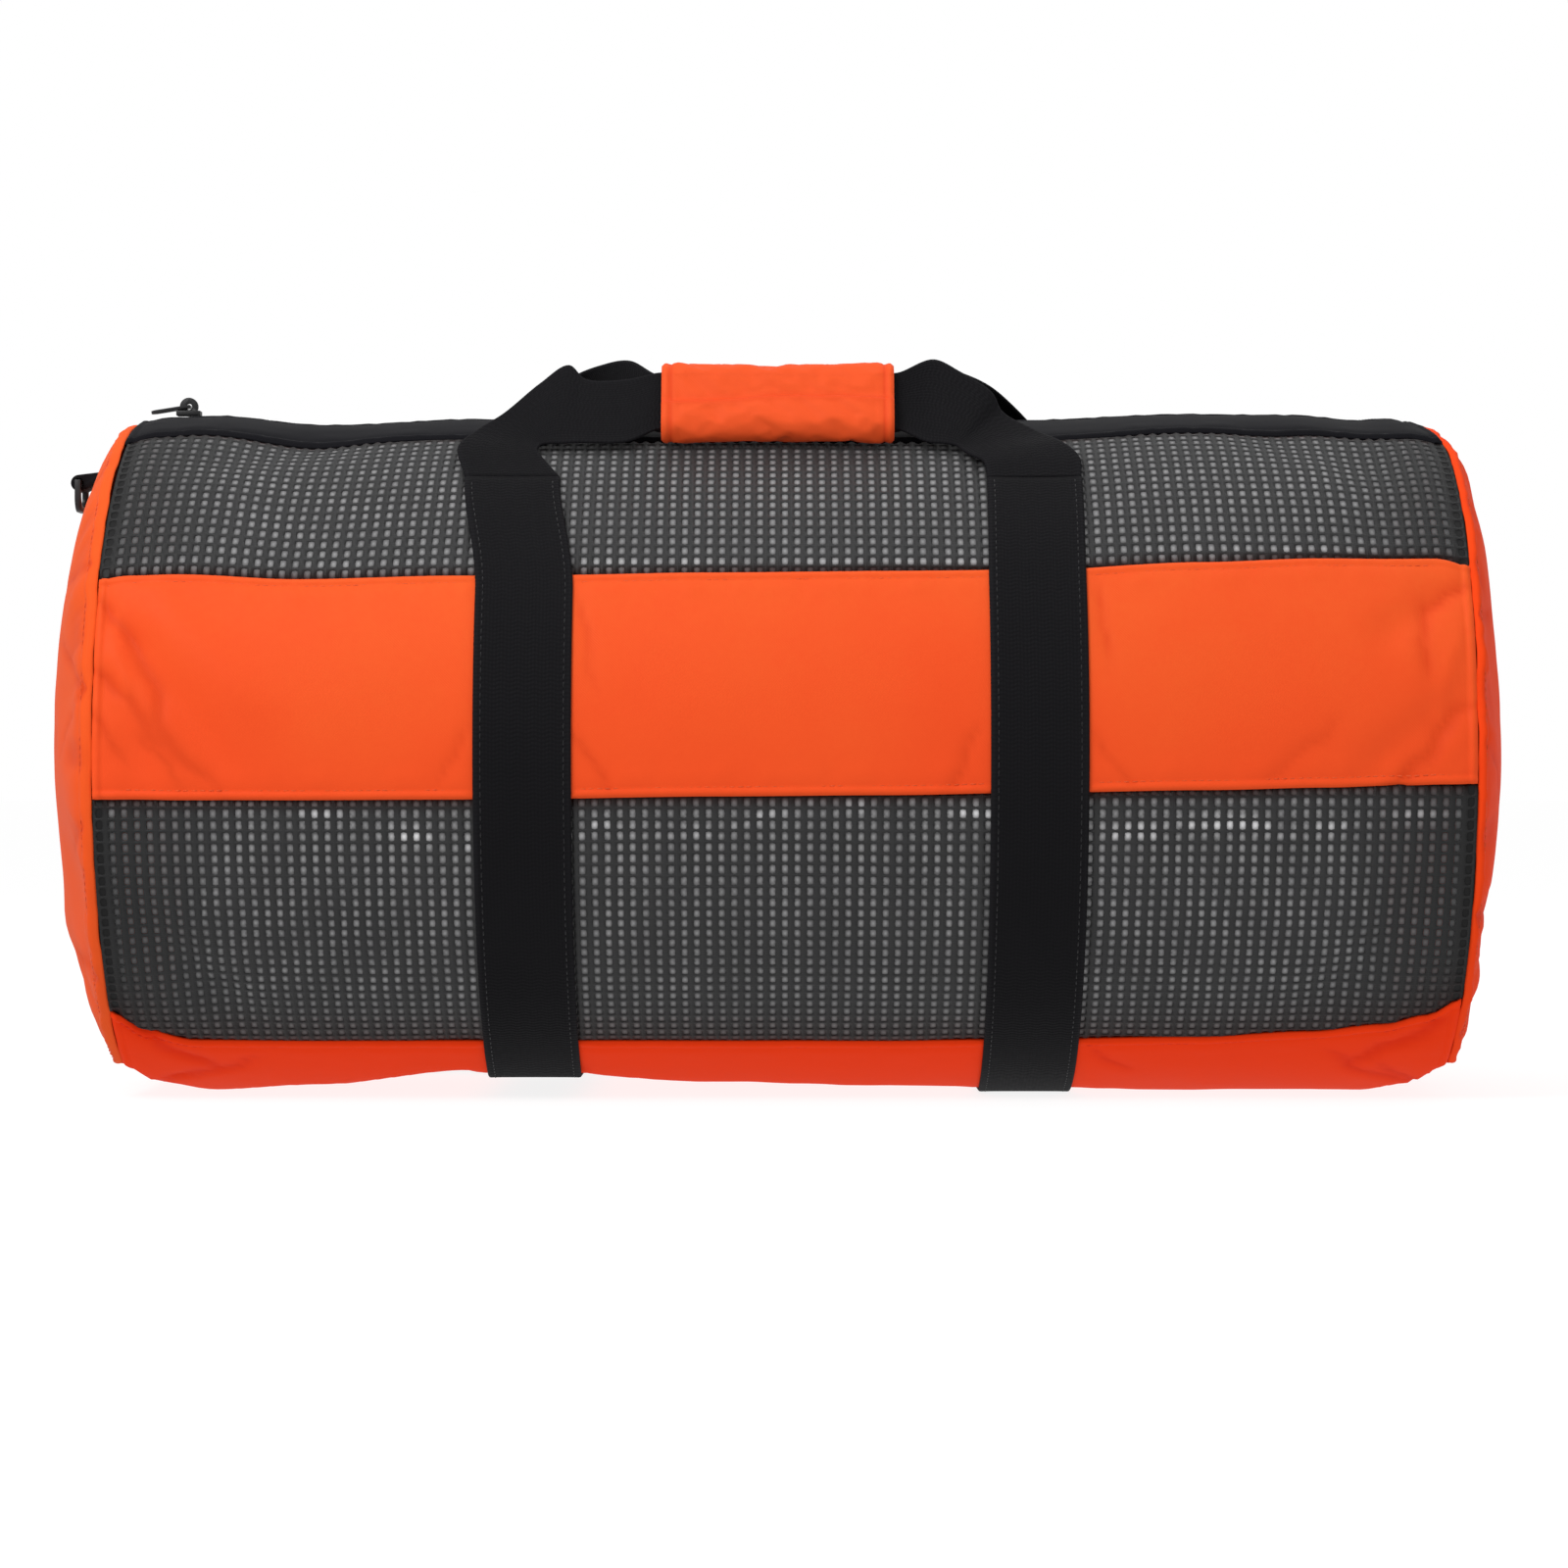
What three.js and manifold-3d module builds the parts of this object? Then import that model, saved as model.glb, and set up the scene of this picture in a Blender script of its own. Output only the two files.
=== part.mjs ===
// A roll-shaped mesh duffel bag for dive gear, in millimetres, +Z up, length along X, front at -Y.
// Orange cloth panels and black net panels lie side by side round the roll and close on two domed
// end panels. Two webbing straps run under the bag and rise into two handles that meet in a padded
// grip. Angles go round the section in degrees: 0 is the front, 90 the top, -90 the underside.
import * as THREE from 'three';
import { mergeVertices } from 'three/addons/utils/BufferGeometryUtils.js';
import Module from 'manifold-3d';

const wasm = await Module();
wasm.setup();

// Driving dimensions of the body
const seamToSeam = 702;
const sectionHalfWidth = 183.5;
const crownRise = 182;
const lowerRadius = 186;
const pressedFlat = 2;
const leftEndBulge = 42.5;
const rightEndBulge = 32;
const endRoundness = 0.6;
const dentFadeRate = 8;
const seamDrawIn = 12;
const seamDrawSpread = 16;
const seamDrawReach = 60;
const clothThickness = 1.5;
const gap = 0.3;

// Driving dimensions of the webbing, the grip and the fittings
const webbingWidth = 50;
const webbingThickness = 2;
const strapLeftAt = -133;
const strapRightAt = 129;
const strapTopAngle = 51;
const gripLength = 123;
const gripCentreAt = -3.8;
const gripHeight = 43;
const gripDepth = 18;
const gripWall = 3.5;
const gripFlapThickness = 1.4;
const gripClearance = 1.1;
const gripAngle = 64;
const gripLeanBack = 20;
const flapFromAngle = 200;
const flapFullAngle = 280;
const flapEdgeDrop = 0.1;
const zipOpenWidth = 36;
const zipTapeOverlap = 5;
const zipTapeThickness = 1;
const zipTapeClearance = 0.6;
const zipCoilWidth = 6.4;
const zipCoilHeight = 3.6;
const zipCoilProud = 1.2;
const bindingWidth = 10;
const bindingThickness = 1.2;
const bindingClearance = 0.4;
const sliderFromSeam = 24;
const sliderLength = 13;
const sliderWidth = 9.5;
const sliderPlate = 2.6;
const bridgeRadius = 5;
const bridgeWidth = 3;
const pinHeight = 2.4;
const pinPlay = 0.57;
const pullLength = 21;
const pullWidth = 8.4;
const pullThickness = 1.6;
const pullTilt = 9;
const ringInnerWidth = 22;
const ringInnerDrop = 11;
const ringWire = 3.2;
const ringCorner = 0.55;
const tabWidth = 19;
const tabReach = 15;
const tabThickness = 1.8;
const tabOut = 0.84;
const tabDroop = 16;
const ringPlay = 0.4;

const axisHeight = lowerRadius - pressedFlat;
const halfLength = seamToSeam / 2;
const sliderAt = sliderFromSeam - halfLength;
const halfWebbing = webbingWidth / 2;
const soleHeight = webbingThickness + gap;

// Rows of numbers to objects with named columns
function table(columns, ...rows) {
  return rows.map((row) => Object.fromEntries(columns.map((column, i) => [column, row[i]])));
}

// One row for each section along the bag. along is a share of the half length, crown and girth are
// shares of the crown rise and the half width, sole is the lift of the underside as a share of the
// sole height, and the four seams are angles on the front half.
const sections = table(
  ['along', 'crown', 'girth', 'sole', 'lowSeam', 'bandLow', 'bandHigh', 'netHigh'],
  [-1.00, 0.986, 0.985, 7.20, -47.7, -8.1, 29.2, 66.0],
  [-0.95, 1.000, 0.992, 2.40, -53.0, -8.1, 29.3, 67.4],
  [-0.88, 1.005, 0.998, 0.25, -55.6, -8.2, 29.4, 68.0],
  [-0.71, 0.977, 1.000, 2.00, -55.8, -8.2, 29.4, 68.0],
  [-0.48, 0.995, 1.000, 6.00, -55.8, -8.1, 29.5, 66.8],
  [-0.37, 0.995, 0.995, 5.20, -55.8, -8.0, 29.6, 66.0],
  [-0.10, 0.995, 1.003, 2.70, -55.8, -7.6, 30.1, 65.6],
  [0.15, 0.995, 1.003, 1.60, -55.8, -7.4, 30.4, 65.6],
  [0.37, 0.992, 0.995, 1.00, -55.4, -7.0, 30.8, 66.4],
  [0.61, 1.010, 1.000, 0.10, -54.6, -6.6, 31.6, 68.0],
  [0.78, 1.008, 0.998, 0.30, -53.0, -6.2, 32.4, 68.2],
  [0.89, 0.992, 0.996, 0.15, -51.0, -5.9, 32.9, 67.8],
  [0.95, 0.997, 0.992, 2.20, -48.5, -5.7, 32.8, 67.2],
  [1.00, 0.986, 0.985, 7.40, -44.6, -5.6, 31.8, 66.0],
);

// One row for each fold: where it starts and ends on the cloth, and its half width and depth as
// shares of the webbing width. A negative depth is a ridge. Each fold is on the front and the back.
const folds = table(
  ['fromAlong', 'fromAngle', 'toAlong', 'toAngle', 'halfWidth', 'depth'],
  [-0.985, 24, -0.80, -4, 0.20, 0.070],
  [-0.990, 12, -0.91, -6, 0.16, 0.050],
  [-0.930, 26, -0.76, 6, 0.24, -0.040],
  [0.995, 10, 0.84, -4, 0.22, 0.060],
  [0.980, 28, 0.86, 18, 0.22, 0.055],
  [0.960, -20, 0.78, -46, 0.30, 0.050],
  [-0.960, -26, -0.80, -48, 0.30, 0.060],
  [-0.900, 56, -0.66, 70, 0.40, 0.060],
  [0.900, 54, 0.70, 68, 0.40, 0.050],
  [-0.300, -14, 0.10, -19, 0.30, 0.045],
);

// One row for each dent of the end panels: its place as an angle and a share of the radius, its
// half width as a share of the radius, and its depth as a share of that end's bulge.
const endDents = table(
  ['end', 'angle', 'out', 'halfWidth', 'depth'],
  [-1, -30, 0.80, 0.22, 0.22],
  [-1, 10, 0.82, 0.16, 0.10],
  [-1, -74, 0.90, 0.18, 0.34],
  [-1, -100, 0.80, 0.20, 0.20],
  [-1, 200, 0.75, 0.24, 0.16],
  [1, 22, 0.84, 0.18, 0.14],
  [1, -42, 0.68, 0.17, 0.34],
  [1, -62, 0.50, 0.17, 0.30],
  [1, -74, 0.90, 0.18, 0.32],
  [1, -130, 0.78, 0.22, 0.18],
  [1, 165, 0.70, 0.24, 0.12],
);

// One row for each station of a handle between a strap's end and the grip. along runs from 0 at
// the grip's end to 1 at the strap's middle. Each edge has its angle round the bag and its lift off
// the cloth as a share of the webbing width. outer is the edge that turns upwards.
const handleColumns = ['outAlong', 'outAngle', 'outLift', 'inAlong', 'inAngle', 'inLift'];
const handleRows = {
  frontLeft: table(
    handleColumns,
    [1.58, 59.2, 0.09, 0.95, 58.6, 0.07],
    [1.44, 64.7, 0.13, 0.94, 59.8, 0.07],
    [1.24, 68.2, 0.24, 0.93, 60.3, 0.07],
    [0.96, 71.5, 0.51, 0.88, 60.4, 0.08],
    [0.74, 73.3, 0.68, 0.79, 60.4, 0.08],
    [0.60, 71.7, 0.55, 0.65, 60.5, 0.09],
    [0.28, 71.0, 0.56, 0.27, 60.8, 0.09],
  ),
  frontRight: table(
    handleColumns,
    [1.36, 55.6, 0.09, 0.64, 54.6, 0.08],
    [1.26, 59.6, 0.12, 0.54, 57.0, 0.08],
    [1.06, 66.1, 0.10, 0.48, 59.2, 0.07],
    [0.82, 70.1, 0.23, 0.47, 59.8, 0.07],
    [0.74, 71.6, 0.42, 0.45, 60.2, 0.07],
    [0.50, 73.1, 0.62, 0.38, 60.5, 0.08],
    [0.31, 73.6, 0.74, 0.24, 60.8, 0.09],
  ),
  backLeft: table(
    handleColumns,
    [1.34, 118, 0.08, 0.62, 119, 0.08],
    [1.22, 106, 0.12, 0.56, 110, 0.09],
    [1.00, 96, 0.28, 0.50, 100, 0.11],
    [0.78, 88, 0.46, 0.42, 90, 0.13],
    [0.52, 81, 0.60, 0.34, 79, 0.13],
    [0.26, 75.2, 0.70, 0.20, 70, 0.13],
  ),
  backRight: table(
    handleColumns,
    [1.34, 118, 0.08, 0.62, 119, 0.08],
    [1.20, 107, 0.11, 0.56, 111, 0.09],
    [0.98, 97, 0.24, 0.50, 101, 0.11],
    [0.76, 89, 0.40, 0.42, 91, 0.13],
    [0.50, 82, 0.54, 0.34, 80, 0.13],
    [0.26, 76.4, 0.62, 0.20, 70, 0.13],
  ),
};

// The left strap's front end leans outwards below the handle, by this share of the webbing width
const strapLean = { left: -0.18, right: 0.02 };
const strapLeanFromAngle = 26;

// Colours and finishes
const orangeCloth = { color: 0xf6642e, roughness: 0.62, metalness: 0 };
const orangeUnder = { color: 0xe03f21, roughness: 0.62, metalness: 0 };
const blackNet = { color: 0x2a2a2c, roughness: 0.45, metalness: 0 };
const blackCloth = { color: 0x232327, roughness: 0.7, metalness: 0 };
const blackWebbing = { color: 0x1b1a1c, roughness: 0.6, metalness: 0 };
const blackPlastic = { color: 0x161618, roughness: 0.35, metalness: 0 };

const bag = new THREE.Group();

function toRadians(angle) {
  return THREE.MathUtils.degToRad(angle);
}

function smooth(t) {
  const c = THREE.MathUtils.clamp(t, 0, 1);
  return c * c * (3 - 2 * c);
}

// Eased interpolation between the two section rows on either side of x
function sectionAt(x) {
  const along = THREE.MathUtils.clamp(x / halfLength, -1, 1);
  const next = Math.max(1, sections.findIndex((row) => row.along >= along));
  const before = sections[next - 1];
  const after = sections[next];
  const t = smooth((along - before.along) / (after.along - before.along));
  const mixed = {};
  for (const key of Object.keys(before)) {
    mixed[key] = before[key] + (after[key] - before[key]) * t;
  }
  return mixed;
}

// A strap keeps the underside level across its width
function soleAt(x) {
  for (const strapAt of [strapLeftAt, strapRightAt]) {
    if (Math.abs(x - strapAt) <= halfWebbing + gap) {
      return sectionAt(strapAt).sole * soleHeight;
    }
  }
  return sectionAt(x).sole * soleHeight;
}

// The same place on the front half, for an angle anywhere round the section
function onFrontHalf(angle) {
  const upright = angle < -90 ? angle + 360 : angle;
  return upright > 90 ? 180 - upright : upright;
}

// Depth of all folds at one place: a bell curve across each fold that fades out at its two ends
function foldDepth(x, angle) {
  const flatten = (along, degrees) => new THREE.Vector2(along, toRadians(degrees) * sectionHalfWidth);
  const here = flatten(x, onFrontHalf(angle));
  let depth = 0;
  for (const fold of folds) {
    const from = flatten(fold.fromAlong * halfLength, fold.fromAngle);
    const run = flatten(fold.toAlong * halfLength, fold.toAngle).sub(from);
    const direction = run.clone().normalize();
    const offset = here.clone().sub(from);
    const t = offset.dot(direction) / run.length();
    const across = offset.cross(direction) / (fold.halfWidth * webbingWidth);
    const fade = smooth(2 * t + 0.5) * smooth(2 * (1 - t) + 0.5);
    depth += fold.depth * webbingWidth * Math.exp(-across * across) * fade;
  }
  return depth;
}

// How far the right end seam is drawn in along the bag, at its crown
function drawnIn(x, angle) {
  const nearness = smooth(1 - (halfLength - x) / seamDrawReach);
  return seamDrawIn * nearness * Math.exp(-(((angle - 90) / seamDrawSpread) ** 2));
}

// A point round the section at x, lifted off the outside of the cloth
function skinPoint(x, angle, lift) {
  const row = sectionAt(x);
  const cos = Math.cos(toRadians(angle));
  const sin = Math.sin(toRadians(angle));
  const rise = lift - foldDepth(x, angle);
  const upDown = sin > 0 ? row.crown * crownRise : lowerRadius;
  const z = Math.max(axisHeight + (upDown + rise) * sin, soleAt(x) - lift);
  const y = -(sectionHalfWidth * row.girth + rise) * cos;
  return new THREE.Vector3(x - drawnIn(x, angle), y, z);
}

// Turns a soup of triangles into a closed mesh, merged and with its faces pointing out
function closedGeometry(positions) {
  const soup = new THREE.BufferGeometry();
  soup.setAttribute('position', new THREE.Float32BufferAttribute(positions, 3));
  const merged = mergeVertices(soup, 1e-4);
  const index = merged.getIndex().array;
  const point = merged.getAttribute('position');
  const kept = [];
  let volume = 0;
  const corner = [new THREE.Vector3(), new THREE.Vector3(), new THREE.Vector3()];
  for (let i = 0; i < index.length; i += 3) {
    const [a, b, c] = [index[i], index[i + 1], index[i + 2]];
    if (a === b || b === c || c === a) {
      continue;
    }
    kept.push([a, b, c]);
    corner.forEach((vector, k) => vector.fromBufferAttribute(point, [a, b, c][k]));
    volume += corner[0].dot(corner[1].cross(corner[2])) / 6;
  }
  merged.setIndex(kept.flatMap(([a, b, c]) => (volume > 0 ? [a, b, c] : [a, c, b])));
  merged.computeVertexNormals();
  return merged;
}

// A closed wall between two grids of points, open or joined up along its second direction
function wallBetween(outer, inner, joined = false) {
  const positions = [];
  const quad = (a, b, c, d) => {
    for (const p of [a, b, c, a, c, d]) {
      positions.push(p.x, p.y, p.z);
    }
  };
  const rows = outer.length - 1;
  const columns = outer[0].length - 1;
  for (let i = 0; i < rows; i += 1) {
    for (let j = 0; j < columns; j += 1) {
      quad(outer[i][j], outer[i + 1][j], outer[i + 1][j + 1], outer[i][j + 1]);
      quad(inner[i][j], inner[i][j + 1], inner[i + 1][j + 1], inner[i + 1][j]);
    }
    if (!joined) {
      quad(outer[i + 1][0], outer[i][0], inner[i][0], inner[i + 1][0]);
      quad(outer[i][columns], outer[i + 1][columns], inner[i + 1][columns], inner[i][columns]);
    }
  }
  for (let j = 0; j < columns; j += 1) {
    quad(outer[0][j], outer[0][j + 1], inner[0][j + 1], inner[0][j]);
    quad(outer[rows][j + 1], outer[rows][j], inner[rows][j], inner[rows][j + 1]);
  }
  return closedGeometry(positions);
}

function addPiece(name, geometry, finish, parent = bag) {
  const piece = new THREE.Mesh(geometry, new THREE.MeshStandardMaterial(finish));
  piece.name = name;
  parent.add(piece);
  return piece;
}

function spread(from, to, steps) {
  return Array.from({ length: steps + 1 }, (_, i) => from + ((to - from) * i) / steps);
}

// Stations along the bag: close together at the ends, where the folds are, and at each strap's edges
const foldedFrom = 0.72;

function bodyStations() {
  const end = halfLength - gap / 2;
  const folded = foldedFrom * halfLength;
  const marks = [
    { upTo: bindingWidth - end, from: -end, steps: 1 },
    { upTo: -folded, from: bindingWidth - end, steps: 5 },
    { upTo: strapLeftAt - halfWebbing, from: -folded, steps: 3 },
    { upTo: strapLeftAt + halfWebbing, from: strapLeftAt - halfWebbing, steps: 1 },
    { upTo: strapRightAt - halfWebbing, from: strapLeftAt + halfWebbing, steps: 6 },
    { upTo: strapRightAt + halfWebbing, from: strapRightAt - halfWebbing, steps: 1 },
    { upTo: folded, from: strapRightAt + halfWebbing, steps: 3 },
    { upTo: end - bindingWidth, from: folded, steps: 5 },
    { upTo: end, from: end - bindingWidth, steps: 1 },
  ];
  const stations = marks.flatMap((mark) => spread(mark.from, mark.upTo, mark.steps).slice(0, -1));
  return [...stations, end];
}

// The angle of the top panel's free edge beside the zip
function zipEdgeAngle(x, distance) {
  const halfWidth = sectionHalfWidth * sectionAt(x).girth;
  return THREE.MathUtils.radToDeg(Math.acos(distance / halfWidth));
}

// Steps round the front half, panel by panel, from the underside to the zip
const panelSteps = { bottom: 4, lowerNet: 6, band: 5, upperNet: 4, top: 3 };
const seamHalfGap = THREE.MathUtils.radToDeg(gap / 2 / sectionHalfWidth);

function frontAngles(x) {
  const row = sectionAt(x);
  return {
    bottom: spread(-90, row.lowSeam - seamHalfGap, panelSteps.bottom),
    lowerNet: spread(row.lowSeam + seamHalfGap, row.bandLow - seamHalfGap, panelSteps.lowerNet),
    band: spread(row.bandLow + seamHalfGap, row.bandHigh - seamHalfGap, panelSteps.band),
    upperNet: spread(row.bandHigh + seamHalfGap, row.netHigh - seamHalfGap, panelSteps.upperNet),
    top: spread(row.netHigh + seamHalfGap, zipEdgeAngle(x, zipOpenWidth / 2), panelSteps.top),
  };
}

function toBack(angles) {
  return angles.map((angle) => 180 - angle).reverse();
}

function panelWall(anglesAt) {
  const stations = bodyStations();
  const grid = (lift) => stations.map((x) => anglesAt(x).map((angle) => skinPoint(x, angle, lift)));
  return wallBetween(grid(0), grid(-clothThickness));
}

function addBodyPanels() {
  const underside = (x) => {
    const half = frontAngles(x).bottom;
    return [...half.slice(1).map((angle) => -180 - angle).reverse(), ...half];
  };
  addPiece('bottom_panel', panelWall(underside), orangeUnder);
  const sides = [
    { name: 'net_lower', part: 'lowerNet', finish: blackNet },
    { name: 'side_band', part: 'band', finish: orangeCloth },
    { name: 'net_upper', part: 'upperNet', finish: blackNet },
    { name: 'top_panel', part: 'top', finish: blackCloth },
  ];
  for (const side of sides) {
    addPiece(`${side.name}_front`, panelWall((x) => frontAngles(x)[side.part]), side.finish);
    addPiece(`${side.name}_back`, panelWall((x) => toBack(frontAngles(x)[side.part])), side.finish);
  }
}

// A closed ring of angles with a step at every seam, starting and ending at the underside
function ringAngles(x) {
  const front = frontAngles(x);
  const half = [
    ...front.bottom,
    ...front.lowerNet.slice(1),
    ...front.band.slice(1),
    ...front.upperNet.slice(1),
    ...front.top.slice(1),
  ];
  return [...half, 90, ...toBack(half)];
}

// How far an end panel stands out at a share of the radius, less its dents
function endDepth(end, angle, out) {
  let share = (1 - out * out) ** endRoundness;
  for (const dent of endDents.filter((row) => row.end === end)) {
    const turn = toRadians(angle - dent.angle);
    const away = Math.hypot(out * Math.cos(turn) - dent.out, out * Math.sin(turn)) / dent.halfWidth;
    share -= dent.depth * Math.exp(-away * away) * smooth((1 - out) * dentFadeRate);
  }
  return share;
}

function endPoint(end, angle, out, lift) {
  const rim = skinPoint(end * halfLength, angle, lift);
  const bulge = end < 0 ? leftEndBulge : rightEndBulge;
  const domed = end * (gap / 2 + (bulge + lift) * endDepth(end, angle, out));
  const x = end * halfLength + (rim.x - end * halfLength) * out ** 2 + domed;
  return new THREE.Vector3(x, rim.y * out, axisHeight + (rim.z - axisHeight) * out);
}

function addEndPanel(name, end) {
  const shares = [1, 0.97, 0.9, tabOut, 0.68, 0.4, 0];
  const angles = ringAngles(end * halfLength);
  const grid = (lift) => shares.map((out) => angles.map((angle) => endPoint(end, angle, out, lift)));
  addPiece(name, wallBetween(grid(0), grid(-clothThickness), true), orangeCloth);
}

// The tape that binds the end seam inside the bag, seen through the net
function addEndBinding(name, end) {
  const outside = -clothThickness - zipTapeClearance - zipTapeThickness - bindingClearance;
  const seam = halfLength - gap / 2;
  const stations = [end * (seam - bindingWidth), end * seam];
  const grid = (lift) => stations.map((x) => ringAngles(x).map((angle) => skinPoint(x, angle, lift)));
  addPiece(name, wallBetween(grid(outside), grid(outside - bindingThickness), true), blackCloth);
}

function addZipTape(name, side) {
  const stations = bodyStations();
  const top = -clothThickness - zipTapeClearance;
  const grid = (lift) => stations.map((x) => {
    const near = zipEdgeAngle(x, zipCoilWidth / 2 + gap);
    const far = zipEdgeAngle(x, zipOpenWidth / 2 + zipTapeOverlap);
    return [far, near].map((angle) => skinPoint(x, side < 0 ? angle : 180 - angle, lift));
  });
  addPiece(name, wallBetween(grid(top), grid(top - zipTapeThickness)), blackCloth);
}

function addZipCoil() {
  const half = zipCoilWidth / 2;
  const level = (lift) => bodyStations().map((x) => {
    const crest = skinPoint(x, 90, lift);
    return [-half, half].map((y) => new THREE.Vector3(crest.x, y, crest.z));
  });
  const coil = wallBetween(level(zipCoilProud), level(zipCoilProud - zipCoilHeight));
  addPiece('zip_coil', coil, blackPlastic);
}

// A strap follows the skin under the bag from one handle end to the other
function strapShift(strapAt, angle) {
  const lean = (strapAt < 0 ? strapLean.left : strapLean.right) * webbingWidth;
  const risen = (angle - strapLeanFromAngle) / (strapTopAngle - strapLeanFromAngle);
  return angle < -90 ? 0 : lean * smooth(risen);
}

function addStrap(name, strapAt) {
  const grid = (lift) => [-halfWebbing, halfWebbing].map((side) => {
    const x = strapAt + side;
    const rising = ringAngles(x).filter((angle) => angle > -90 && angle < strapTopAngle);
    const half = [...rising, strapTopAngle];
    const angles = [...half.map((angle) => -180 - angle).reverse(), -90, ...half];
    return angles.map((angle) => {
      const point = skinPoint(x, angle, lift);
      point.x += strapShift(strapAt, angle);
      return point;
    });
  });
  addPiece(name, wallBetween(grid(gap + webbingThickness), grid(gap)), blackWebbing);
}

// The grip leans back against the top of the bag. Its section runs up along one axis and
// forward along the other, from a middle that stands clear of the cloth.
const gripUp = new THREE.Vector3(0, Math.sin(toRadians(gripLeanBack)), Math.cos(toRadians(gripLeanBack)));
const gripForward = new THREE.Vector3(0, -gripUp.z, gripUp.y);
const gripSeat = gripDepth / 2 + gripFlapThickness + gap;
const gripMiddle = skinPoint(gripCentreAt, gripAngle, gripSeat)
  .addScaledVector(gripUp, (gripHeight - gripDepth) / 2);

function gripPoint(x, forward, up) {
  const point = gripMiddle.clone().addScaledVector(gripForward, forward).addScaledVector(gripUp, up);
  point.x = x;
  return point;
}

// Outline of a flat sleeve with round ends. The flap lies over the lower front, and its edge is a
// step just below the middle.
function sleeveOutline(halfDepth, halfHeight, flap) {
  const arcCentre = halfHeight - halfDepth;
  const arc = (from, to, middle) => spread(from, to, 6).map((angle) => {
    const flapShare = smooth((angle - flapFromAngle) / (flapFullAngle - flapFromAngle));
    const thick = halfDepth + flap * flapShare;
    return [thick * Math.cos(toRadians(angle)), middle + thick * Math.sin(toRadians(angle))];
  });
  const flapEdge = -flapEdgeDrop * halfHeight;
  return [
    ...arc(0, 180, arcCentre),
    ...arc(180, 360, -arcCentre),
    [halfDepth + flap, flapEdge],
    [halfDepth, flapEdge + gap],
    [halfDepth, arcCentre],
  ];
}

function addGrip() {
  const rows = [
    { along: -1, size: 0.94 },
    { along: -0.92, size: 0.985 },
    { along: -0.4, size: 1 },
    { along: 0.1, size: 0.985 },
    { along: 0.5, size: 1 },
    { along: 0.92, size: 0.985 },
    { along: 1, size: 0.94 },
  ];
  const sleeve = (row, inset, flap) => {
    const x = gripCentreAt + (row.along * gripLength) / 2;
    const size = inset > 0 ? 1 : row.size;
    const outline = sleeveOutline(gripDepth / 2 - inset, gripHeight / 2 - inset, flap);
    return outline.map(([forward, up]) => gripPoint(x, forward * size, up * size));
  };
  const outer = rows.map((row) => sleeve(row, 0, gripFlapThickness));
  const inner = rows.map((row) => sleeve(row, gripWall, 0));
  addPiece('handle_grip', wallBetween(outer, inner, true), orangeCloth);
}

// The two edges of a handle from a strap's end to the grip's mouth
function handleSide(rows, strapAt, front) {
  const side = Math.sign(strapAt);
  const mouth = gripCentreAt + (side * gripLength) / 2;
  const span = strapAt - mouth;
  const startAngle = strapTopAngle + THREE.MathUtils.radToDeg(gap / sectionHalfWidth);
  const startLift = gap + webbingThickness / 2;
  const shift = front ? strapShift(strapAt, strapTopAngle) : 0;
  const start = (offset) => {
    const point = skinPoint(strapAt + offset, front ? startAngle : 180 - startAngle, startLift);
    point.x += shift;
    return point;
  };
  const edge = (along, angle, lift) => skinPoint(mouth + along * span, angle, lift * webbingWidth);
  const outer = rows.map((row) => edge(row.outAlong, row.outAngle, row.outLift));
  const inner = rows.map((row) => edge(row.inAlong, row.inAngle, row.inLift));
  return {
    outer: [start(side * halfWebbing), ...outer],
    inner: [start(-side * halfWebbing), ...inner],
  };
}

// A handle is one ribbon, narrowed where it runs through the grip
function addHandle(name, leftRows, rightRows, front) {
  const left = handleSide(leftRows, strapLeftAt, front);
  const right = handleSide(rightRows, strapRightAt, front);
  const forward = (front ? 1 : -1) * (webbingThickness / 2 + gap);
  const halfInGrip = gripHeight / 2 - gripWall - gripClearance;
  const gripShares = [-1.03, -0.9, 0.9, 1.03];
  const inGrip = (up) => gripShares.map((share) => (
    gripPoint(gripCentreAt + (share * gripLength) / 2, forward, up)
  ));
  const edgeCurve = (edge, up) => (
    new THREE.CatmullRomCurve3([...left[edge], ...inGrip(up), ...right[edge].reverse()])
  );
  const upper = edgeCurve('outer', halfInGrip);
  const lower = edgeCurve('inner', -halfInGrip);
  const steps = 3 * (upper.points.length - 1);
  const faces = [1, -1].map((face) => spread(0, 1, steps).map((t) => {
    const top = upper.getPoint(t);
    const bottom = lower.getPoint(t);
    const along = upper.getTangent(t).add(lower.getTangent(t));
    const normal = along.cross(bottom.clone().sub(top)).normalize();
    return [top, bottom].map((edge) => edge.addScaledVector(normal, (face * webbingThickness) / 2));
  }));
  addPiece(name, wallBetween(faces[0], faces[1]), blackWebbing);
}

// Closed three.js geometry to a merged one, and to a solid of the boolean library and back
function mergedGeometry(geometry) {
  const soup = geometry.getIndex() ? geometry.toNonIndexed() : geometry;
  return closedGeometry(soup.getAttribute('position').array);
}

function toSolid(geometry) {
  const merged = mergedGeometry(geometry);
  return new wasm.Manifold(new wasm.Mesh({
    numProp: 3,
    vertProperties: new Float32Array(merged.getAttribute('position').array),
    triVerts: new Uint32Array(merged.getIndex().array),
  }));
}

function toGeometry(solid) {
  const mesh = solid.getMesh();
  const geometry = new THREE.BufferGeometry();
  geometry.setAttribute('position', new THREE.Float32BufferAttribute(mesh.vertProperties, 3));
  geometry.setIndex(Array.from(mesh.triVerts));
  geometry.computeVertexNormals();
  return geometry;
}

function roundHole(radius, x = 0, y = 0) {
  return new THREE.Path().absarc(x, y, radius, 0, 2 * Math.PI, true);
}

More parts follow.
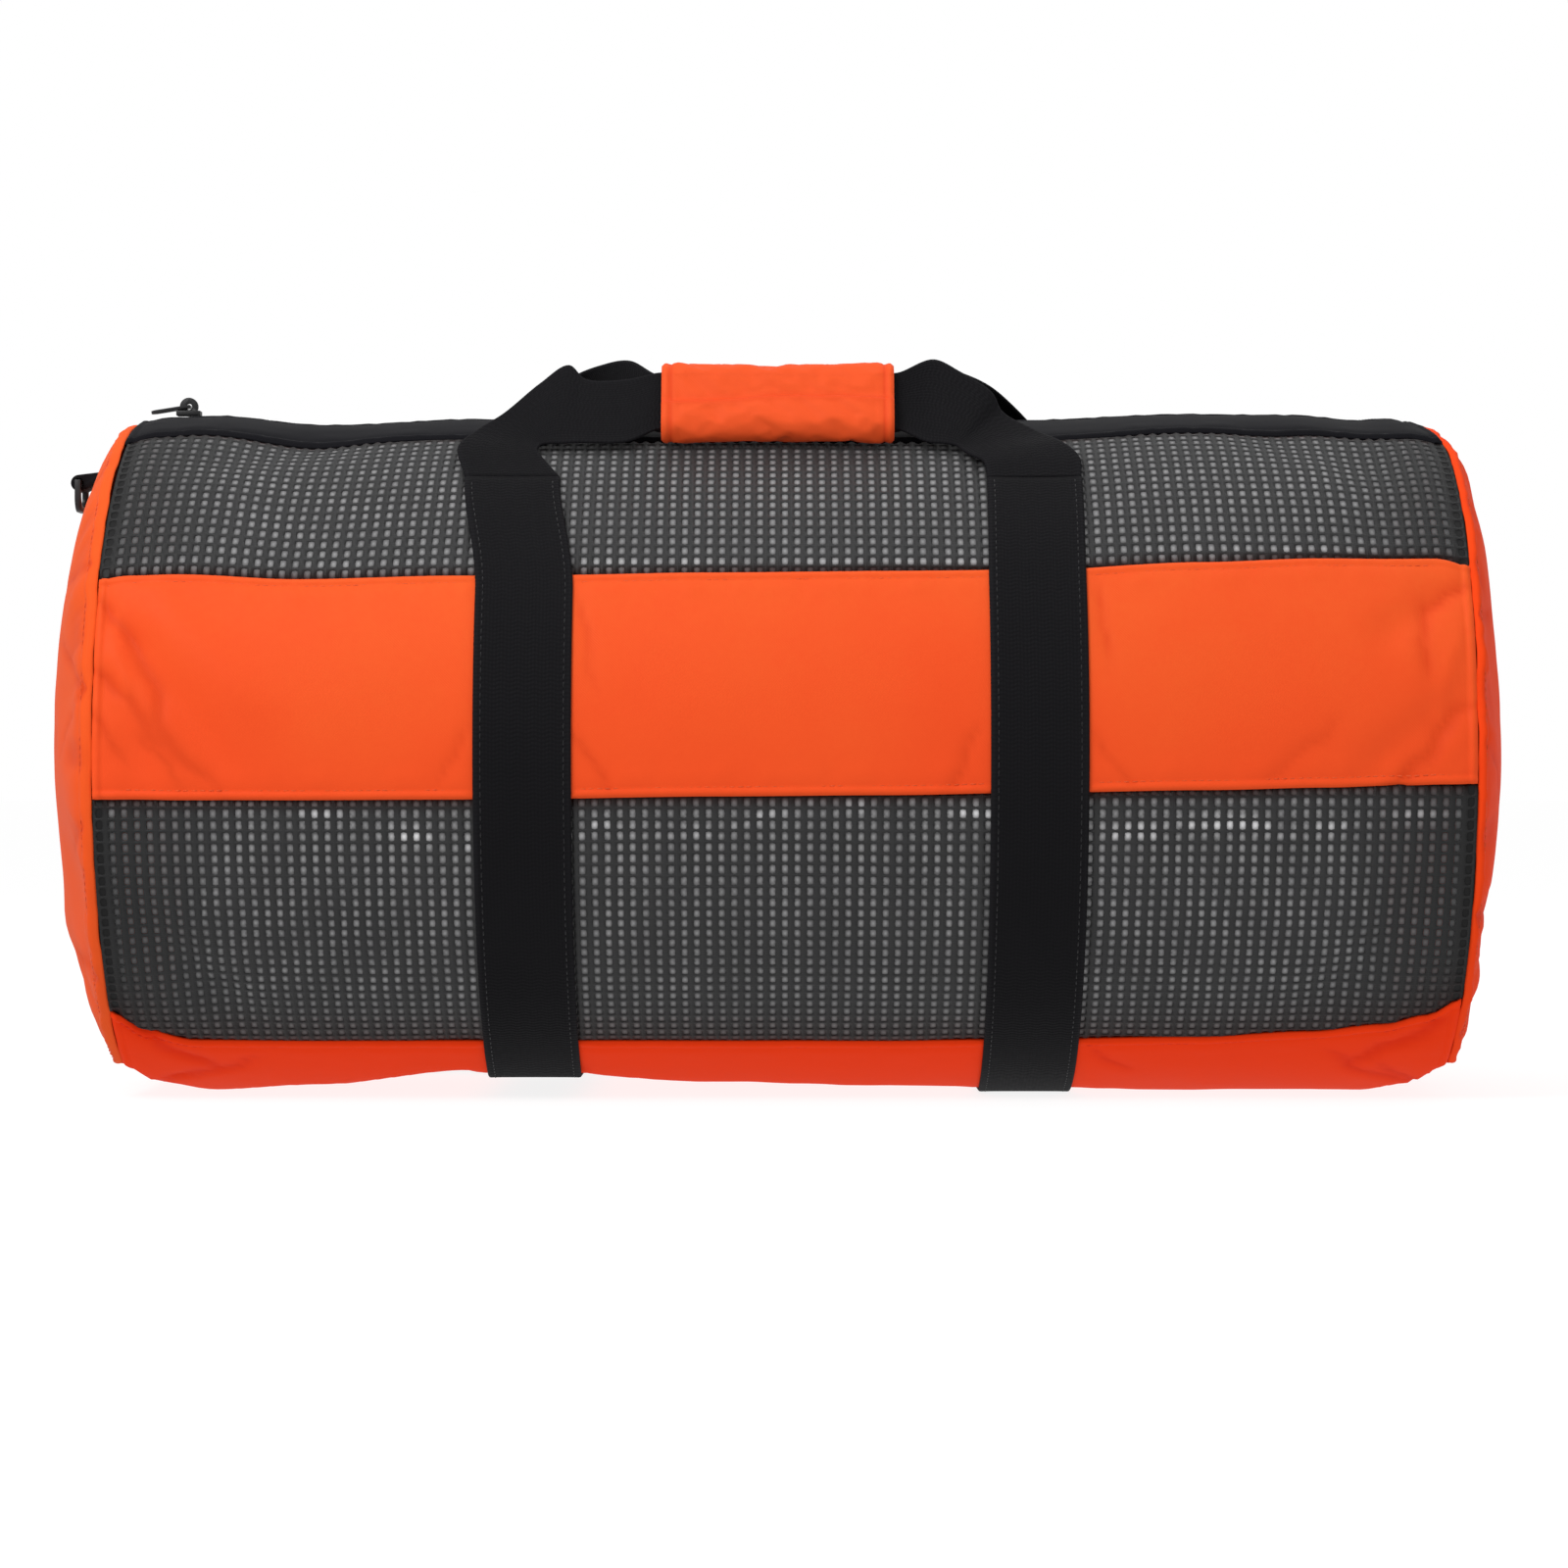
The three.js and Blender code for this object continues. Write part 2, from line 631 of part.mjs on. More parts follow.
// The zip slider: a plate over the coil with a round bridge that holds the pull
function zipSeat() {
  const half = sliderLength / 2;
  const crests = spread(sliderAt - half, sliderAt + half, 4).map((x) => skinPoint(x, 90, zipCoilProud).z);
  return Math.max(...crests) + gap;
}

// A flat shape to a solid of the given thickness, with arcs in so many steps
function extruded(shape, thickness, arcSteps) {
  const options = { depth: thickness, bevelEnabled: false, curveSegments: arcSteps };
  return new THREE.ExtrudeGeometry(shape, options);
}

function addZipSlider() {
  const seat = zipSeat();
  const plate = new THREE.BoxGeometry(sliderLength, sliderWidth, sliderPlate);
  plate.translate(0, 0, sliderPlate / 2);
  const arch = new THREE.Shape();
  const footAngle = Math.asin((pinHeight + sliderPlate / 2) / bridgeRadius);
  arch.absarc(0, pinHeight, bridgeRadius, -footAngle, Math.PI + footAngle, false);
  arch.holes.push(roundHole(pullThickness * Math.SQRT1_2 + pinPlay, 0, pinHeight));
  const bridge = extruded(arch, bridgeWidth, 10);
  bridge.rotateX(Math.PI / 2).translate(0, bridgeWidth / 2, sliderPlate);
  const solid = toSolid(plate).add(toSolid(bridge));
  addPiece('zip_slider', toGeometry(solid), blackPlastic).position.set(sliderAt, 0, seat);
}

function addZipPull() {
  const half = pullWidth / 2;
  const bar = pullThickness / 2;
  const outline = new THREE.Shape();
  outline.moveTo(bar, -half);
  outline.lineTo(bar, half);
  outline.lineTo(half - pullLength, half);
  outline.absarc(half - pullLength, 0, half, Math.PI / 2, (3 * Math.PI) / 2, false);
  const eyeHalf = bridgeWidth / 2 + pinPlay;
  const eyeEnd = -(bridgeRadius + pinPlay + bar);
  const eye = new THREE.Path();
  eye.moveTo(-bar, -eyeHalf);
  eye.lineTo(eyeEnd, -eyeHalf);
  eye.lineTo(eyeEnd, eyeHalf);
  eye.lineTo(-bar, eyeHalf);
  outline.holes.push(eye);
  const pull = extruded(outline, pullThickness, 8);
  pull.translate(0, 0, -pullThickness / 2).rotateY(-toRadians(pullTilt));
  addPiece('zip_pull', mergedGeometry(pull), blackPlastic)
    .position.set(sliderAt, 0, zipSeat() + sliderPlate + pinHeight);
}

// A webbing tab sewn to the left end panel, looped round the bar of a ring that hangs from it
const tabFoot = endPoint(-1, 90, tabOut, 0);
const tabFall = toRadians(tabDroop);
const tabDirection = new THREE.Vector3(-Math.cos(tabFall), 0, -Math.sin(tabFall));
const ringBar = tabFoot.clone().addScaledVector(tabDirection, tabReach);
const loopRadius = ringWire * Math.SQRT1_2 + ringPlay;
const slopeStep = 0.02;

function addEndTab() {
  const outside = loopRadius + tabThickness;
  const halfFoot = tabThickness + gap / 2;
  const lean = Math.asin((outside - halfFoot) / tabReach);
  const above = endPoint(-1, 90, tabOut + slopeStep, 0);
  const below = endPoint(-1, 90, tabOut - slopeStep, 0);
  const slope = above.sub(below).normalize();
  const across = new THREE.Vector3(-tabDirection.z, 0, tabDirection.x);
  const cant = (halfFoot * slope.dot(tabDirection)) / slope.dot(across);
  const footAt = gap / Math.abs(slope.dot(across)) - tabReach;
  const outline = new THREE.Shape();
  outline.moveTo(footAt + cant, halfFoot);
  outline.lineTo(footAt - cant, -halfFoot);
  outline.absarc(0, 0, outside, -Math.PI / 2 - lean, Math.PI / 2 + lean, false);
  outline.holes.push(roundHole(loopRadius));
  const tab = extruded(outline, tabWidth, 8);
  tab.translate(0, 0, -tabWidth / 2).rotateX(Math.PI / 2).rotateY(Math.PI - tabFall);
  addPiece('end_tab', mergedGeometry(tab), blackWebbing).position.copy(ringBar);
}

function ringOutline(halfWidth, top, drop) {
  const corner = ringCorner * halfWidth;
  const outline = new THREE.Shape();
  outline.moveTo(halfWidth, top);
  outline.lineTo(-halfWidth, top);
  outline.lineTo(-halfWidth, corner - drop);
  outline.absarc(corner - halfWidth, corner - drop, corner, -Math.PI, -Math.PI / 2, false);
  outline.lineTo(halfWidth - corner, -drop);
  outline.absarc(halfWidth - corner, corner - drop, corner, -Math.PI / 2, 0, false);
  return outline;
}

function addEndRing() {
  const halfWire = ringWire / 2;
  const innerDrop = ringInnerDrop + halfWire;
  const outline = ringOutline(ringInnerWidth / 2 + ringWire, halfWire, innerDrop + ringWire);
  outline.holes.push(ringOutline(ringInnerWidth / 2, -halfWire, innerDrop));
  const ring = extruded(outline, ringWire, 5);
  ring.translate(0, 0, -halfWire).rotateX(Math.PI / 2).rotateZ(Math.PI / 2);
  addPiece('end_ring', mergedGeometry(ring), blackPlastic).position.copy(ringBar);
}

addBodyPanels();
addEndPanel('end_panel_left', -1);
addEndPanel('end_panel_right', 1);
addEndBinding('end_binding_left', -1);
addEndBinding('end_binding_right', 1);
addZipTape('zip_tape_front', -1);
addZipTape('zip_tape_back', 1);
addZipCoil();
addZipSlider();
addZipPull();
addStrap('strap_left', strapLeftAt);
addStrap('strap_right', strapRightAt);
addHandle('handle_front', handleRows.frontLeft, handleRows.frontRight, true);
addHandle('handle_back', handleRows.backLeft, handleRows.backRight, false);
addGrip();
addEndTab();
addEndRing();

// The origin is on the ground under the middle of the bag's outline
bag.updateMatrixWorld(true);
const extent = new THREE.Box3().setFromObject(bag, true);
const middle = extent.getCenter(new THREE.Vector3());
bag.position.set(-middle.x, -middle.y, -extent.min.z);

export default bag;
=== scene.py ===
"""Looks of a roll-shaped mesh duffel bag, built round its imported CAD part, in metres.

Angles go round the bag's section in degrees: 0 is the front, 90 the top, -90 the underside and 180
the back. A lift is a distance off the outside of the cloth.
"""

import math

import bmesh
import bpy
import numpy as np
from bpy.props import FloatProperty, FloatVectorProperty, PointerProperty
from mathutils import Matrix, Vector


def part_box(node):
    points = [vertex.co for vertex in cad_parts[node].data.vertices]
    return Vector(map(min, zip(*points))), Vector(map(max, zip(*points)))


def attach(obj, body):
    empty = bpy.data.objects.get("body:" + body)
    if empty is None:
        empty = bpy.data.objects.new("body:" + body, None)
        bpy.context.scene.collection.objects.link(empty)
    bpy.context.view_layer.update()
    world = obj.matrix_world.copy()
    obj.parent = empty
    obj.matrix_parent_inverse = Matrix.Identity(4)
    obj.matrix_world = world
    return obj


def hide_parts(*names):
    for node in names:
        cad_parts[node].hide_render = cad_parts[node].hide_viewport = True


bl_info = {
    "name": "Mesh duffel bag",
    "version": (1, 0, 0),
    "blender": (4, 5, 0),
    "location": "View3D > Sidebar > Bag",
    "description": "Cloth, net, webbing, grip, zip and studio of a roll-shaped mesh duffel bag",
    "category": "Add Mesh",
}

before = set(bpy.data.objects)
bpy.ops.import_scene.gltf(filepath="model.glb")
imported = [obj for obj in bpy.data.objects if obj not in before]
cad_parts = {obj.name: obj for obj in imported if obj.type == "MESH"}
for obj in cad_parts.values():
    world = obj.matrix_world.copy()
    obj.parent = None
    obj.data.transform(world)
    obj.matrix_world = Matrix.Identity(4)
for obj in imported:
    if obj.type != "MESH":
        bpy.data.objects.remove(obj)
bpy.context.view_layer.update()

# The middle of the cloth body in the frame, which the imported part's origin is close to
BOTTOM_LOW, BOTTOM_HIGH = (np.array(corner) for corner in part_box("bottom_panel"))
SHIFT = np.array([*((BOTTOM_LOW + BOTTOM_HIGH) / 2)[:2], 0.0])

# Sizes and places in metres along the bag, angles in degrees
CLOTH_THICKNESS = 0.0015
SEAM_GAP = 0.0003
SOLE_HEIGHT = 0.0023
STRAPS_AT = {"left": -0.133, "right": 0.129}
STRAP_LEANS = {"left": -0.009, "right": 0.001}
STRAP_TOP_ANGLE = 51.0
STRAP_LEANS_FROM = 26.0
WEBBING_THICKNESS = 0.002
GRIP_LENGTH = 0.123
GRIP_CENTRE = -0.0038
GRIP_HEIGHT = 0.043
GRIP_DEPTH = 0.018
GRIP_WALL = 0.0035
GRIP_FLAP = 0.0014
GRIP_CLEARANCE = 0.0011
GRIP_ANGLE = 64.0
GRIP_LEANS_BACK = 20.0
ZIP_OPEN_WIDTH = 0.036
ZIP_COIL_PROUD = 0.0012
SEAM_DRAW_IN = 0.012
SEAM_DRAW_SPREAD = 16.0
SEAM_DRAW_REACH = 0.060
STITCH_INSET = 0.0050
STITCH_HALF = (0.00135, 0.00030, 0.00026)
STRAP_STITCH_INSET = 0.004
ZIP_TOOTH_PITCH = 0.0024
ZIP_TOOTH_HALF = (0.0021, 0.00062, 0.0015)
ZIP_TOOTH_SINK = 0.0015
ZIP_CORE_SINK = 0.0027
ZIP_CORE_THICKNESS = 0.0006

# The camera, whose focal length was measured in the photograph's pixels, and the floor
CAMERA_DISTANCE = 2.30
CAMERA_HEIGHT = 0.166
SENSOR_WIDTH = 36.0
FOCAL_LENGTH_PX = 4275
PHOTO_WIDTH_PX = 1600
FLOOR_HEIGHT = -0.0002


def table(columns, rows):
    """Rows of numbers as one array for each named column."""
    return {name: np.array([row[i] for row in rows], float) for i, name in enumerate(columns)}


# One row for each section: along, crown and girth are shares, sole is a share of the sole height,
# and the seams are angles on the front half.
SECTIONS = table(
    ("along", "crown", "girth", "sole", "low_seam", "band_low", "band_high", "net_high"),
    (
        (-1.00, 0.986, 0.985, 7.20, -47.7, -8.1, 29.2, 66.0),
        (-0.95, 1.000, 0.992, 2.40, -53.0, -8.1, 29.3, 67.4),
        (-0.88, 1.005, 0.998, 0.25, -55.6, -8.2, 29.4, 68.0),
        (-0.71, 0.977, 1.000, 2.00, -55.8, -8.2, 29.4, 68.0),
        (-0.48, 0.995, 1.000, 6.00, -55.8, -8.1, 29.5, 66.8),
        (-0.37, 0.995, 0.995, 5.20, -55.8, -8.0, 29.6, 66.0),
        (-0.10, 0.995, 1.003, 2.70, -55.8, -7.6, 30.1, 65.6),
        (0.15, 0.995, 1.003, 1.60, -55.8, -7.4, 30.4, 65.6),
        (0.37, 0.992, 0.995, 1.00, -55.4, -7.0, 30.8, 66.4),
        (0.61, 1.010, 1.000, 0.10, -54.6, -6.6, 31.6, 68.0),
        (0.78, 1.008, 0.998, 0.30, -53.0, -6.2, 32.4, 68.2),
        (0.89, 0.992, 0.996, 0.15, -51.0, -5.9, 32.9, 67.8),
        (0.95, 0.997, 0.992, 2.20, -48.5, -5.7, 32.8, 67.2),
        (1.00, 0.986, 0.985, 7.40, -44.6, -5.6, 31.8, 66.0),
    ),
)

# One row for each broad fold: shares of the half length, angles, and metres
FOLDS = table(
    ("from_along", "from_angle", "to_along", "to_angle", "half_width", "depth"),
    (
        (-0.985, 24, -0.80, -4, 0.0100, 0.0035),
        (-0.990, 12, -0.91, -6, 0.0080, 0.0025),
        (-0.930, 26, -0.76, 6, 0.0120, -0.0020),
        (0.995, 10, 0.84, -4, 0.0110, 0.0030),
        (0.980, 28, 0.86, 18, 0.0110, 0.00275),
        (0.960, -20, 0.78, -46, 0.0150, 0.0025),
        (-0.960, -26, -0.80, -48, 0.0150, 0.0030),
        (-0.900, 56, -0.66, 70, 0.0200, 0.0030),
        (0.900, 54, 0.70, 68, 0.0200, 0.0025),
        (-0.300, -14, 0.10, -19, 0.0150, 0.00225),
    ),
)

# Fine creases, in the cloth panels alone
CREASES = table(
    ("from_along", "from_angle", "to_along", "to_angle", "half_width", "depth"),
    (
        (-1.00, 25, -0.94, 17, 0.0028, 0.0025),
        (-0.95, 18, -0.83, -6, 0.0034, 0.0024),
        (-1.00, 13, -0.90, 1, 0.0030, 0.0025),
        (-1.00, 6, -0.95, -2, 0.0024, 0.0018),
        (-0.93, 2, -0.87, -6, 0.0024, 0.0014),
        (-0.97, 22, -0.95, 8, 0.0024, -0.0014),
        (0.99, 6, 0.86, -6, 0.0042, 0.0031),
        (0.99, 28, 0.93, 23, 0.0028, 0.0022),
        (0.93, 24, 0.92, 12, 0.0030, 0.0020),
        (0.97, 20, 0.95, 4, 0.0026, -0.0014),
        (0.80, 4, 0.70, -4, 0.0034, 0.0011),
        (-0.30, 24, -0.27, 10, 0.0020, 0.0011),
        (-0.30, 2, -0.25, -7, 0.0022, 0.0014),
        (-0.46, 3, -0.50, -6, 0.0022, 0.0011),
        (0.28, 3, 0.24, -6, 0.0022, 0.0014),
        (0.45, 28, 0.47, 14, 0.0022, 0.0013),
        (0.45, 2, 0.50, -6, 0.0022, 0.0011),
        (-0.98, -52, -0.86, -64, 0.0035, 0.0028),
        (-0.93, -70, -0.80, -62, 0.0030, 0.0020),
        (-0.99, -80, -0.90, -66, 0.0030, 0.0020),
        (0.98, -50, 0.86, -62, 0.0035, 0.0028),
        (0.94, -72, 0.82, -60, 0.0030, 0.0020),
        (0.99, -78, 0.90, -64, 0.0030, 0.0020),
        (-0.36, -60, -0.30, -66, 0.0026, 0.0015),
        (0.46, -58, 0.52, -66, 0.0026, 0.0015),
    ),
)

# Dents of the end panels: an angle, then shares of the radius, and the depth as a share of the bulge
END_DENTS = table(
    ("end", "angle", "out", "half_width", "depth"),
    (
        (-1, -30, 0.80, 0.22, 0.22),
        (-1, 10, 0.82, 0.16, 0.10),
        (-1, -74, 0.90, 0.18, 0.34),
        (-1, -100, 0.80, 0.20, 0.20),
        (-1, 200, 0.75, 0.24, 0.16),
        (1, 22, 0.84, 0.18, 0.14),
        (1, -42, 0.68, 0.17, 0.34),
        (1, -62, 0.50, 0.17, 0.30),
        (1, -74, 0.90, 0.18, 0.32),
        (1, -130, 0.78, 0.22, 0.18),
        (1, 165, 0.70, 0.24, 0.12),
    ),
)

# Creases of the end panels, which run in from the rim: angles, shares of the radius, and metres
END_CREASES = table(
    ("end", "from_angle", "from_out", "to_angle", "to_out", "half_width", "depth"),
    (
        (-1, 10, 1.00, 26, 0.72, 0.0030, 0.0024),
        (-1, 10, 1.00, 0, 0.74, 0.0028, 0.0022),
        (-1, -12, 1.00, -22, 0.76, 0.0026, 0.0018),
        (-1, 32, 1.00, 42, 0.70, 0.0030, 0.0020),
        (-1, -40, 1.00, -52, 0.70, 0.0030, 0.0024),
        (-1, -62, 0.98, -50, 0.76, 0.0028, 0.0020),
        (-1, 122, 1.00, 108, 0.64, 0.0034, 0.0020),
        (-1, 196, 1.00, 188, 0.68, 0.0032, 0.0018),
        (-1, 236, 1.00, 222, 0.72, 0.0030, 0.0018),
        (1, 22, 1.00, 36, 0.70, 0.0030, 0.0022),
        (1, 2, 1.00, -10, 0.72, 0.0028, 0.0020),
        (1, -28, 1.00, -40, 0.66, 0.0032, 0.0024),
        (1, -54, 1.00, -38, 0.72, 0.0028, 0.0022),
        (1, 70, 1.00, 82, 0.66, 0.0032, 0.0018),
        (1, 150, 1.00, 138, 0.60, 0.0034, 0.0020),
        (1, 212, 1.00, 226, 0.70, 0.0030, 0.0020),
    ),
)

# Stations of the handles: along is 0 at the grip's end and 1 at the strap's middle, the lifts are
# shares of the webbing width, and out is the edge that turns upwards.
HANDLE_COLUMNS = ("out_along", "out_angle", "out_lift", "in_along", "in_angle", "in_lift")
HANDLES = {
    ("front", "left"): table(HANDLE_COLUMNS, (
        (1.58, 59.2, 0.09, 0.95, 58.6, 0.07),
        (1.44, 64.7, 0.13, 0.94, 59.8, 0.07),
        (1.24, 68.2, 0.24, 0.93, 60.3, 0.07),
        (0.96, 71.5, 0.51, 0.88, 60.4, 0.08),
        (0.74, 73.3, 0.68, 0.79, 60.4, 0.08),
        (0.60, 71.7, 0.55, 0.65, 60.5, 0.09),
        (0.28, 71.0, 0.56, 0.27, 60.8, 0.09),
    )),
    ("front", "right"): table(HANDLE_COLUMNS, (
        (1.36, 55.6, 0.09, 0.64, 54.6, 0.08),
        (1.26, 59.6, 0.12, 0.54, 57.0, 0.08),
        (1.06, 66.1, 0.10, 0.48, 59.2, 0.07),
        (0.82, 70.1, 0.23, 0.47, 59.8, 0.07),
        (0.74, 71.6, 0.42, 0.45, 60.2, 0.07),
        (0.50, 73.1, 0.62, 0.38, 60.5, 0.08),
        (0.31, 73.6, 0.74, 0.24, 60.8, 0.09),
    )),
    ("back", "left"): table(HANDLE_COLUMNS, (
        (1.34, 118, 0.08, 0.62, 119, 0.08),
        (1.22, 106, 0.12, 0.56, 110, 0.09),
        (1.00, 96, 0.28, 0.50, 100, 0.11),
        (0.78, 88, 0.46, 0.42, 90, 0.13),
        (0.52, 81, 0.60, 0.34, 79, 0.13),
        (0.26, 75.2, 0.70, 0.20, 70, 0.13),
    )),
    ("back", "right"): table(HANDLE_COLUMNS, (
        (1.34, 118, 0.08, 0.62, 119, 0.08),
        (1.20, 107, 0.11, 0.56, 111, 0.09),
        (0.98, 97, 0.24, 0.50, 101, 0.11),
        (0.76, 89, 0.40, 0.42, 91, 0.13),
        (0.50, 82, 0.54, 0.34, 80, 0.13),
        (0.26, 76.4, 0.62, 0.20, 70, 0.13),
    )),
}


def metres(name, description, default, least):
    """A length in metres that a user can set."""
    return FloatProperty(name=name, description=description, default=default, min=least, unit="LENGTH")


def tint(name, description, default):
    """A colour that a user can set."""
    return FloatVectorProperty(
        name=name, description=description, default=default, subtype="COLOR", size=3, min=0.0, max=1.0)


class BagSizes(bpy.types.PropertyGroup):
    """Sizes that a user would change, in metres."""

    half_length: metres("Half length", "From the middle to an end seam", 0.351, 0.1)
    half_width: metres("Half width", "From the axis to the front of the bag", 0.1835, 0.05)
    crown_rise: metres("Crown rise", "From the axis to the top of the bag", 0.182, 0.05)
    lower_radius: metres(
        "Lower radius", "From the axis to the underside before it is pressed flat", 0.186, 0.05)
    axis_height: metres("Axis height", "Height of the roll's axis above the ground", 0.184, 0.05)
    left_bulge: metres("Left bulge", "How far the left end panel stands out", 0.0425, 0.0)
    right_bulge: metres("Right bulge", "How far the right end panel stands out", 0.032, 0.0)
    webbing_width: metres("Webbing width", "Width of the straps and handles", 0.05, 0.01)
    net_pitch_along: metres("Net pitch along", "Distance between holes along the bag", 0.00643, 0.003)
    net_pitch_round: metres("Net pitch round", "Distance between holes round the bag", 0.00605, 0.003)
    hole_width: metres("Hole width", "Width of a net hole along the bag", 0.0035, 0.001)
    hole_height: metres("Hole height", "Height of a net hole round the bag", 0.0049, 0.001)
    stitch_pitch: metres("Stitch pitch", "Distance between stitches", 0.0042, 0.001)


class BagColours(bpy.types.PropertyGroup):
    """Colours that a user would change."""

    cloth: tint("Cloth", "Side bands and ends", (0.835, 0.105, 0.0175))
    # The right end's colour is a painted shade: darker and redder than the other cloth because that end
    # lies in shade
    shaded_right_cloth: tint("Right cloth", "Right end, which is redder", (0.90, 0.066, 0.0090))
    under_cloth: tint("Under cloth", "Bottom panel", (0.92, 0.046, 0.006))
    grip_cloth: tint("Grip cloth", "Padded grip", (0.84, 0.092, 0.0195))
    net: tint("Net", "Strands of the net", (0.0305, 0.0305, 0.0312))
    scrim: tint("Scrim", "Fine threads in the holes of the net", (0.196, 0.194, 0.197))
    top_cloth: tint("Top cloth", "Black cloth beside the zip", (0.0070, 0.0068, 0.0090))
    webbing: tint("Webbing", "Straps, handles and tab", (0.0074, 0.0071, 0.0082))
    plastic: tint("Plastic", "Zip and ring", (0.010, 0.010, 0.011))


def sizes():
    """The sizes of the open scene."""
    return bpy.context.scene.bag_sizes


def colours():
    """The colours of the open scene."""
    return bpy.context.scene.bag_colours


def smooth(t):
    """Eased step from 0 to 1."""
    c = np.clip(t, 0, 1)
    return c * c * (3 - 2 * c)


def bell(t):
    """Bell curve: 1 at 0, and next to nothing past 2."""
    return np.exp(-t * t)


def wander(t, seed=0.0):
    """Uneven wave between about -1 and 1: a sum of four sines whose lengths share no factor."""
    return (
        0.40 * np.sin(t * 1.00 + seed)
        + 0.30 * np.sin(t * 1.73 + 2.1 * seed + 1.3)
        + 0.20 * np.sin(t * 3.11 + 3.7 * seed + 0.4)
        + 0.10 * np.sin(t * 5.87 + 5.3 * seed + 2.2)
    )


def section(x, column):
    """Value of one section column at x: an eased step from each row to the next."""
    along = np.clip(np.asarray(x, float) / sizes().half_length, -1, 1)
    rows = SECTIONS["along"]
    after = np.clip(np.searchsorted(rows, along), 1, len(rows) - 1)
    t = smooth((along - rows[after - 1]) / (rows[after] - rows[after - 1]))
    values = SECTIONS[column]
    return values[after - 1] + (values[after] - values[after - 1]) * t


def sole(x):
    """Lift of the underside at x, level across each strap."""
    height = section(x, "sole")
    half = sizes().webbing_width / 2 + SEAM_GAP
    for strap_at in STRAPS_AT.values():
        share = smooth(1 - (np.abs(x - strap_at) - half) / 0.012)
        height = height + (section(strap_at, "sole") - height) * share
    return height * SOLE_HEIGHT


def on_front_half(angle):
    """The same place on the front half, for an angle anywhere round the section."""
    upright = np.where(angle < -90, angle + 360, angle)
    return np.where(upright > 90, 180 - upright, upright)


def sharp_peak(t):
    """Narrow peak with a rounded tip: 0.73 at 0, and next to nothing past 3."""
    return np.exp(-1.4 * np.sqrt(t * t + 0.05))


def beside_line(x, y, start, stop):
    """Share of the way along a line, distance beside it, and the line's length."""
    run = stop - start
    length = np.linalg.norm(run)
    direction = run / length
    along = ((x - start[0]) * direction[0] + (y - start[1]) * direction[1]) / length
    beside = (x - start[0]) * direction[1] - (y - start[1]) * direction[0]
    return along, beside, length


def furrows(rows, x, angle, sharp=False):
    """Depth of all rows' folds: a bell across each straight line, or a peak across each line that
    wanders a little. Both fade out at the line's two ends."""
    half_length, radius = sizes().half_length, sizes().half_width
    v = np.radians(on_front_half(angle)) * radius
    depth = np.zeros(np.broadcast(x, angle).shape)
    for i in range(len(rows["depth"])):
        start, stop = (
            np.array([
                rows[end + "_along"][i] * half_length,
                math.radians(rows[end + "_angle"][i]) * radius])
            for end in ("from", "to"))
        t, beside, length = beside_line(x, v, start, stop)
        across = beside / rows["half_width"][i]
        if sharp:
            across = across + 1.5 * wander(3.4 * t + 2.0 * i, i) * length / 0.05
        profile = sharp_peak(across) if sharp else bell(across)
        depth += rows["depth"][i] * profile * smooth(2 * t + 0.5) * smooth(2 * (1 - t) + 0.5)
    return depth


def drawn_in(x, angle):
    """How far the skin near the right end seam is drawn in along the bag, at its crown."""
    nearness = smooth(1 - (sizes().half_length - x) / SEAM_DRAW_REACH)
    return SEAM_DRAW_IN * nearness * bell((angle - 90) / SEAM_DRAW_SPREAD)


def skin(x, angle, lift):
    """Point round the section at x: a circle with its own crown, girth and lower radius, pressed
    flat by the ground, less the folds, plus the lift."""
    s = sizes()
    x, angle, lift = np.broadcast_arrays(np.asarray(x, float), np.asarray(angle, float), lift)
    cos, sin = np.cos(np.radians(angle)), np.sin(np.radians(angle))
    rise = lift - furrows(FOLDS, x, angle)
    up_down = np.where(sin > 0, section(x, "crown") * s.crown_rise, s.lower_radius)
    z = np.maximum(s.axis_height + (up_down + rise) * sin, sole(x) - lift)
    y = -(s.half_width * section(x, "girth") + rise) * cos
    return np.stack([x - drawn_in(x, angle), y, z], axis=-1) + SHIFT


def strap_shift(side, angle):
    """How far a strap leans along the bag at an angle on the front."""
    risen = (angle - STRAP_LEANS_FROM) / (STRAP_TOP_ANGLE - STRAP_LEANS_FROM)
    return np.where(angle < -90, 0.0, STRAP_LEANS[side] * smooth(risen))


def under_strap(x, angle):
    """1 under a strap, falling to 0 over 5 mm beside it and above its top."""
    half = sizes().webbing_width / 2
    cover = np.zeros(np.broadcast(x, angle).shape)
    front = on_front_half(angle)
    for side, strap_at in STRAPS_AT.items():
        leaning = strap_shift(side, front) * (angle > -90) * (angle < 90)
        beside = np.abs(x - strap_at - leaning) - half
        cover = np.maximum(cover, smooth(1 - beside / 0.005) * smooth((STRAP_TOP_ANGLE + 2 - front) / 2))
    return cover


